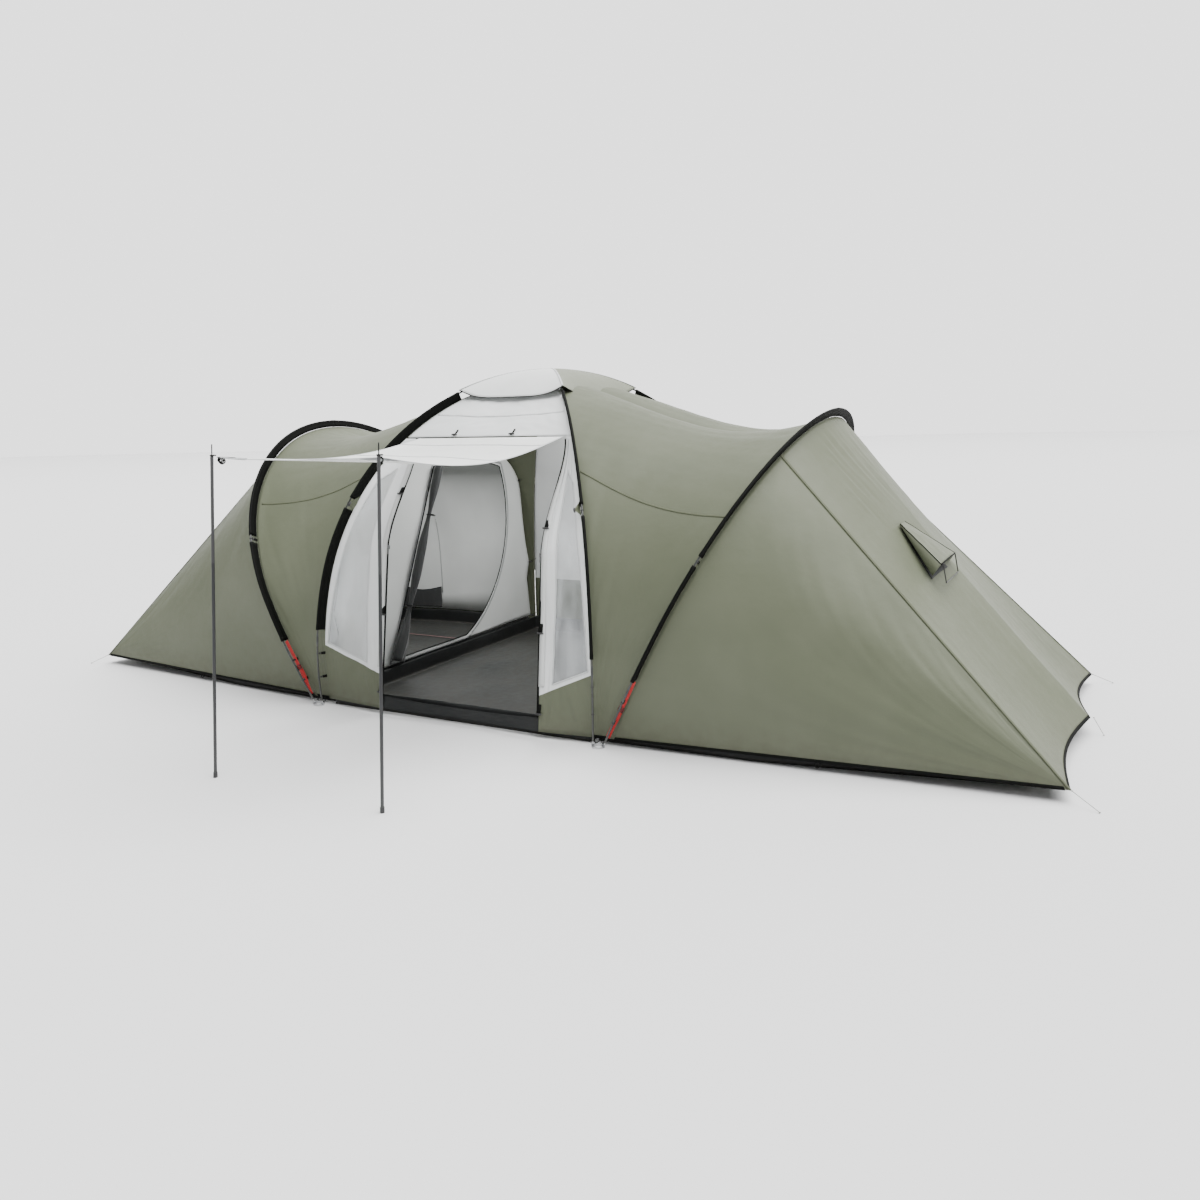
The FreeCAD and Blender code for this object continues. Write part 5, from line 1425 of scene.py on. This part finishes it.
def ray_to(middle, angle, ring):
    """Where a ray from the middle leaves a ring of points, in the wall's plane."""
    ray = Vector((math.cos(angle), math.sin(angle)))
    for a, b in zip(ring, ring[1:] + ring[:1]):
        edge = Vector((b.y - a.y, b.z - a.z))
        start = Vector((a.y - middle.y, a.z - middle.z))
        cross = ray.x * edge.y - ray.y * edge.x
        if abs(cross) < 1e-12:
            continue
        reach = (start.x * edge.y - start.y * edge.x) / cross
        along = (start.x * ray.y - start.y * ray.x) / cross
        if reach > 0 and -1e-4 <= along <= 1 + 1e-4:
            return Vector((0, middle.y + ray.x * reach, middle.z + ray.y * reach))
    return middle


def cord_toggle(maker, spot, along, out, number_cord, number_toggle):
    """A short elastic loop through a barrel toggle."""
    add_tube(maker, arc(spot + out * 0.006, along, out, 0.022, -20, 200, 14), 0.0016, 6, number_cord)
    barrel(maker, [spot - along * 0.016 + out * 0.008, spot + out * 0.009, spot + along * 0.016 + out * 0.008],
           number_toggle)


CURTAIN_TIES = (0.27, 0.74)
mesh_dark = cloth_material("curtain_mesh", (0.020, 0.022, 0.022), (0.040, 0.042, 0.042), thread=0.002, pucker=1.5,
                           gloss=(0.6, 0.8), grime=0.02, sheen=0.3)
for side, end in ((-1, "left"), (1, "right")):
    surface = cabin_surface(side)
    cabin = Cloth(surface, cabin_creases(91.0 + side))
    points = cabin.grid(70, 120, (0.004, 1.0, 0.0, 1.0))
    low_end = [[lerp(p, Vector((p.x, p.y, TUB_WALL + 0.0015)), i / 4) for p in points[-1]] for i in range(5)]
    piece = finished("cabin_cloth_" + end, sew([(points, 0), (low_end, 0)], FLY_THICK), [cabin_cloth], "root",
                     ["cabin_tent_" + end])
    width, length, area = cut_of(points)
    seams = bmesh.new()
    for level in (0.34, 0.66):
        seam_tape(cabin, [(lerp(0.01, 0.99, i / 80), level) for i in range(81)], 0.009, 0.0010, 0, seams, -0.0016, -1)
    seam_tape(cabin, [(KNEE, lerp(0.01, 0.99, i / 120)) for i in range(121)], 0.009, 0.0010, 0, seams, -0.0016, -1)
    finished("cabin_seams_" + end, faced(seams), [cabin_seam], "root")

    rim = [surface(0.0, i / 64) for i in range(65)]
    rim += [Vector((rim[0].x, lerp(rim[-1].y, rim[0].y, i / 24), rim[0].z)) for i in range(1, 24)]
    middle = Vector((0, 0.12, 0.75))
    angles = sorted({math.atan2(p.z - middle.z, p.y - middle.y) for p in door_line}
                    | {math.atan2(p.z - middle.z, p.y - middle.y) for p in rim[::2]})
    angles.append(angles[0] + math.tau)
    pairs = [(ray_to(middle, angle, door_line), ray_to(middle, angle, rim)) for angle in angles]
    grid = []
    for i in range(11):
        t = i / 10
        line = []
        for inner, outer in pairs:
            point = lerp(inner, outer, t)
            wave = ripple(point.y * 3, point.z * 2.4, 95.0 + side) * 0.010 * math.sin(math.pi * t)
            pleat = ripple(point.y * 16, point.z * 1.5, 97.0) * 0.003 * math.sin(math.pi * t)
            line.append(Vector((side * (CABIN_WALL_X + 0.0012 + wave + pleat), point.y, point.z)))
        grid.append(line)
    toward = Vector((-side, 0, 0))
    piece = finished("cabin_wall_cloth_" + end, sew([(grid, 0)], FLY_THICK, lambda p: toward), [cabin_cloth], "root",
                     ["cabin_wall_" + end])

    trim = bmesh.new()
    at_wall = Vector((side * CABIN_WALL_X, 0, 0))
    add_tube(trim, [p + at_wall for p in door_line], 0.0040, 8, 0, closed=True)
    outer = [middle + (p - middle) * 1.035 + at_wall + toward * 0.0006 for p in door_line + door_line[:1]]
    ribbon(outer, [toward] * len(outer), 0.016, 0.0014, 1, trim)
    for height in CABIN_HOOKS:
        hook = min(rim[:33] + rim[32:65], key=lambda p: abs(p.z - height) + (9 if p.y < 0 else 0))
        cord_toggle(trim, hook + toward * 0.006 - Vector((0, 0.006, 0)), Vector((0, 1, 0)), toward, 0, 3)
        cord = [hook, hook + Vector((-side * 0.02, 0.045, 0.010)), hook + Vector((-side * 0.03, 0.090, 0.022))]
        add_tube(trim, cord, 0.0016, 6, 0)
    finished("cabin_door_piping_" + end, faced(trim), [black_tape, cabin_seam, elastic, moulded], "root")

    low, high = door_corners[0], door_corners[1]
    shift = Vector((side * (CABIN_WALL_X - 0.0506), 0, 0))
    grid, turns, steps, levels = [], 4.0, 150, 54
    run = (high - low).normalized()
    aside = Vector((1, 0, 0))
    front_way = run.cross(aside).normalized()
    for i in range(levels + 1):
        t = i / levels
        outer_r = lerp(0.016, 0.036, smooth(min(abs(t - tie) for tie in CURTAIN_TIES) * 6))
        wide = 1.0 + 0.9 * smooth((0.26 - t) * 4) if t < 0.26 else 1.0
        line = []
        for j in range(steps + 1):
            s = j / steps
            angle = s * turns * math.tau + 0.6 * math.sin(t * 5)
            fold = ripple(math.cos(angle) * 2.4, math.sin(angle) * 2.4 + t * 3, 99.0 + side) * 0.16
            radius = outer_r * lerp(0.22, 0.93, s) * (1 + fold * s)
            middle_line = low.lerp(high, t) + shift
            line.append(middle_line + (aside * math.cos(angle) + front_way * (math.sin(angle) * wide)) * radius)
        grid.append(line)
    maker = sew([(grid, 0)], 0.0006, lambda p: toward)
    piece = finished("cabin_curtain_" + end, maker, [mesh_dark], "root", ["cabin_door_curtains"])
    tie = bmesh.new()
    for share in CURTAIN_TIES:
        spot = low.lerp(high, share) + shift
        add_tube(tie, arc(spot, aside, front_way, 0.0185, 0, 345, 30), 0.0022, 8, 0)
        cord_toggle(tie, spot + toward * 0.021, front_way, toward, 0, 1)
    finished("curtain_tie_" + end, faced(tie), [black_tape, moulded], "root")


# Storage pockets: dark mesh with a bound, slack upper edge, sewn low on the rear wall of each cabin.
for side, end in ((-1, "left"), (1, "right")):
    grid = []
    for i in range(13):
        rise = i / 12
        row = []
        for j in range(31):
            x = lerp(1.80, 2.16, j / 30)
            share = (x - CABIN_WALL_X) / (CABIN_PLACES[1] - CABIN_WALL_X) * KNEE if x < CABIN_PLACES[1] else (
                KNEE + (x - CABIN_PLACES[1]) / (CABIN_PLACES[2] - CABIN_PLACES[1]) * (1 - KNEE))
            spot = cabin_surface(side)(share, 1.0 - 0.030 * rise ** 0.5)
            slack = 0.016 + 0.020 * math.sin(math.pi * j / 30) * rise + 0.004 * ripple(j * 0.5, rise * 2, 105.0)
            height = lerp(0.125, 0.300 - 0.028 * math.sin(math.pi * j / 30), rise)
            row.append(Vector((spot.x, spot.y - slack, height)))
        grid.append(row)
    piece = finished("cabin_pocket_" + end, sew([(grid, 0)], 0.0006, lambda p: Vector((0, -1, 0))), [mesh_dark],
                     "root")
    width, length, area = cut_of(grid)
    min(area, width * length)
    edge = bmesh.new()
    add_tube(edge, grid[-1], 0.0030, 6, 0)
    finished("pocket_edge_" + end, faced(edge), [black_tape], "root")


# Roof vents: on each end panel a stiffened hood of fly cloth, piped at its mouth, over a mesh opening. Two plastic
# props hold it up. The opening is an opaque near-black patch: dark mesh, and painted shade for the dark opening under
# the hood.
# Near-black colour: dark mesh, and painted shade for the shadowed opening under the hood.
vent_mesh_and_painted_shade = cloth_material("vent_mesh_and_painted_shade", (0.010, 0.011, 0.010), (0.018, 0.019, 0.018), thread=0.003, grime=0.01)
for side, end in ((-1, "left"), (1, "right")):
    panel = end_panels[end]
    neck, mouth, length = 0.120, 0.440, 0.300
    tilt = math.radians(15.0)
    above, below = end_surface(1)(0.35, 0.35), end_surface(1)(0.60, 0.35)
    down = Vector((below.x - above.x, 0, below.z - above.z)).normalized()
    out = Vector((-down.z, 0, down.x))
    hinge = above + out * 0.012
    along = down * math.cos(tilt) + out * math.sin(tilt)
    up = out * math.cos(tilt) - down * math.sin(tilt)

    def hood_surface(u, v, hinge=hinge, along=along, up=up, side=side):
        """u across the hood, v from its neck to its mouth."""
        across = (2 * u - 1) * lerp(neck, mouth, v) / 2
        droop = 0.007 * abs(2 * u - 1) ** 2.4 * v - 0.006 * math.sin(math.pi * v) * (1 - (2 * u - 1) ** 2)
        point = hinge + Vector((0, 1, 0)) * across + along * (length * v) - up * droop
        return Vector((side * point.x, point.y, point.z))
    lifted = Vector((side * up.x, 0, up.z))
    hood = Cloth(hood_surface, lambda u, v: ripple(u * 5, v * 4, 111.0) * 0.004 * smooth(v * 6),
                 lambda p, lifted=lifted: lifted)
    points = hood.grid(36, 26)
    piece = finished("vent_hood_cloth_" + end, sew([(points, 0)], 0.0016, lambda p, lifted=lifted: lifted),
                     [olive_end], "vent_hood_" + end, ["vent_hood_" + end])
    pipes = bmesh.new()
    add_tube(pipes, [hood.at(i / 30, 1.0) for i in range(31)], 0.0035, 8, 0)
    for u in (0.0, 1.0):
        add_tube(pipes, [hood.at(u, i / 20) for i in range(21)], 0.0026, 8, 0)
    finished("vent_piping_" + end, faced(pipes), [black_tape], "vent_hood_" + end)
    for u, name in ((0.0, "front"), (1.0, "rear")):
        gusset = []
        for i in range(21):
            rim_point = hood.at(u, i / 20) - lifted * 0.0012
            foot = rim_point - lifted * (rim_point - Vector((side * hinge.x, hinge.y, hinge.z))).dot(
                Vector((side * out.x, 0, out.z))) - lifted * 0.006
            bulge = Vector((0, -1 if u == 0.0 else 1, 0))
            gusset.append([foot.lerp(rim_point, j / 8) + bulge * (0.012 * math.sin(math.pi * j / 8) * i / 20)
                           for j in range(9)])
        flank = finished("vent_gusset_" + name + "_" + end, sew([(gusset, 0)], 0.0008), [olive_end], None)
        foot, rim_point = gusset[-1][0], gusset[-1][-1]
        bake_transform(flank)
    # The panel is not cut open here: a near-black sheet on it is painted shade for the dark hole behind the mesh.
    opening = Cloth(panel.surface, lambda u, v, panel=panel: panel.creases(u, v) + 0.0022)
    patch = []
    for i in range(21):
        t = i / 20
        half = lerp(0.022, 0.086, t)
        patch.append([opening.at(0.358 + 0.150 * t, 0.35 + half * (2 * j / 20 - 1)) for j in range(21)])
    finished("vent_patch_mesh_and_painted_shade_" + end, sew([(patch, 0)], 0.0008), [vent_mesh_and_painted_shade], "root")
    props = hard_material("vent_prop_plastic_" + end, (0.012, 0.012, 0.012), (0.06, 0.06, 0.06), (0.3, 0.5), 0.4)
    refinish("vent_props_" + end, props)


# Peg loops: black elastic loops knotted through eyelets in the hems, where pegs hold the fly down.
PEG_LOOP_R = 0.014
loops = bmesh.new()
for side in (-1, 1):
    for way in (-1, 1):
        tunnel, hem = tunnel_surface(side), 0.0 if way < 0 else 1.0
        for spot in (tunnel(0.36, hem), tunnel(0.74, hem), side_surface(side, way)(0.5, 0.0)):
            middle = spot + Vector((0, 0.004 * way, 0.008)) + Vector((0, 0.010 * way, -0.016))
            add_tube(loops, arc(middle, Vector((1, 0, 0)), Vector((0, 0.6 * way, -0.8)), PEG_LOOP_R, -130, 310, 22),
                     0.0022)
finished("peg_loops", faced(loops), [black_tape], "root")


# Studio: a pale floor and a bright backdrop under soft light from above, with lamps inside the tent.
floor_mesh = bpy.data.meshes.new("studio_floor")
FLOOR_HALF = 60.0
floor_mesh.from_pydata([(-FLOOR_HALF, -FLOOR_HALF, 0), (FLOOR_HALF, -FLOOR_HALF, 0), (FLOOR_HALF, FLOOR_HALF, 0),
                        (-FLOOR_HALF, FLOOR_HALF, 0)], [], [(0, 1, 2, 3)])
studio_floor = bpy.data.objects.new("studio_floor", floor_mesh)
bpy.context.collection.objects.link(studio_floor)
floor_paint = bpy.data.materials.new("studio_floor")
floor_paint.use_nodes = True
floor_shader = floor_paint.node_tree.nodes["Principled BSDF"]
floor_shader.inputs["Base Color"].default_value = (0.66, 0.66, 0.66, 1)
floor_shader.inputs["Roughness"].default_value = 0.9
floor_shader.inputs["Specular IOR Level"].default_value = 0.1
floor_mesh.materials.append(floor_paint)

BACKDROP_AWAY = 55.0
BACKDROP_HALF = 75.0
backdrop_mesh = bpy.data.meshes.new("studio_backdrop")
view_way = Vector((-math.sin(VIEW_TURN), math.cos(VIEW_TURN), 0))
view_side = Vector((view_way.y, -view_way.x, 0))
backdrop_mesh.from_pydata([view_way * BACKDROP_AWAY + view_side * side + Vector((0, 0, up)) for side, up in
                           ((-BACKDROP_HALF, -1.0), (BACKDROP_HALF, -1.0), (BACKDROP_HALF, BACKDROP_HALF),
                            (-BACKDROP_HALF, BACKDROP_HALF))], [], [(0, 1, 2, 3)])
backdrop = bpy.data.objects.new("studio_backdrop", backdrop_mesh)
bpy.context.collection.objects.link(backdrop)
backdrop_paint = bpy.data.materials.new("studio_backdrop")
backdrop_paint.use_nodes = True
backdrop_shader = backdrop_paint.node_tree.nodes["Principled BSDF"]
backdrop_shader.inputs["Base Color"].default_value = (0, 0, 0, 1)
backdrop_shader.inputs["Specular IOR Level"].default_value = 0.0
backdrop_shader.inputs["Emission Color"].default_value = (1, 1, 1, 1)
backdrop_shader.inputs["Emission Strength"].default_value = 2.25
backdrop_mesh.materials.append(backdrop_paint)

world = bpy.data.worlds.new("studio")
world.use_nodes = True
world.node_tree.nodes["Background"].inputs[0].default_value = (0.97, 0.985, 1.0, 1)
world.node_tree.nodes["Background"].inputs[1].default_value = 0.62
bpy.context.scene.world = world


def lamp(name, kind, place, aim, power):
    """A lamp that faces a point and doesn't show itself."""
    lamp_data = bpy.data.lights.new(name, kind)
    lamp_data.energy = power
    made = bpy.data.objects.new(name, lamp_data)
    made.matrix_world = (Matrix.Translation(place)
                         @ (Vector(aim) - Vector(place)).to_track_quat("-Z", "Y").to_matrix().to_4x4())
    made.visible_camera = False
    bpy.context.collection.objects.link(made)
    return lamp_data


lamp("sky_panel", "SUN", (3.4, 0.1, 9.3), (0.0, 0.0, 0.0), 8.6).angle = 1.3
for name, x, height, power in (("left_cabin_glow", -1.45, 1.30, 17.0), ("middle_glow", 0.0, 1.82, 34.0),
                               ("right_cabin_glow", 1.45, 1.30, 17.0)):
    glow = lamp(name, "AREA", (x, 0.15, height), (x, 0.15, 0.0), power)
    glow.shape, glow.size = "SQUARE", 0.8

bpy.context.view_layer.update()
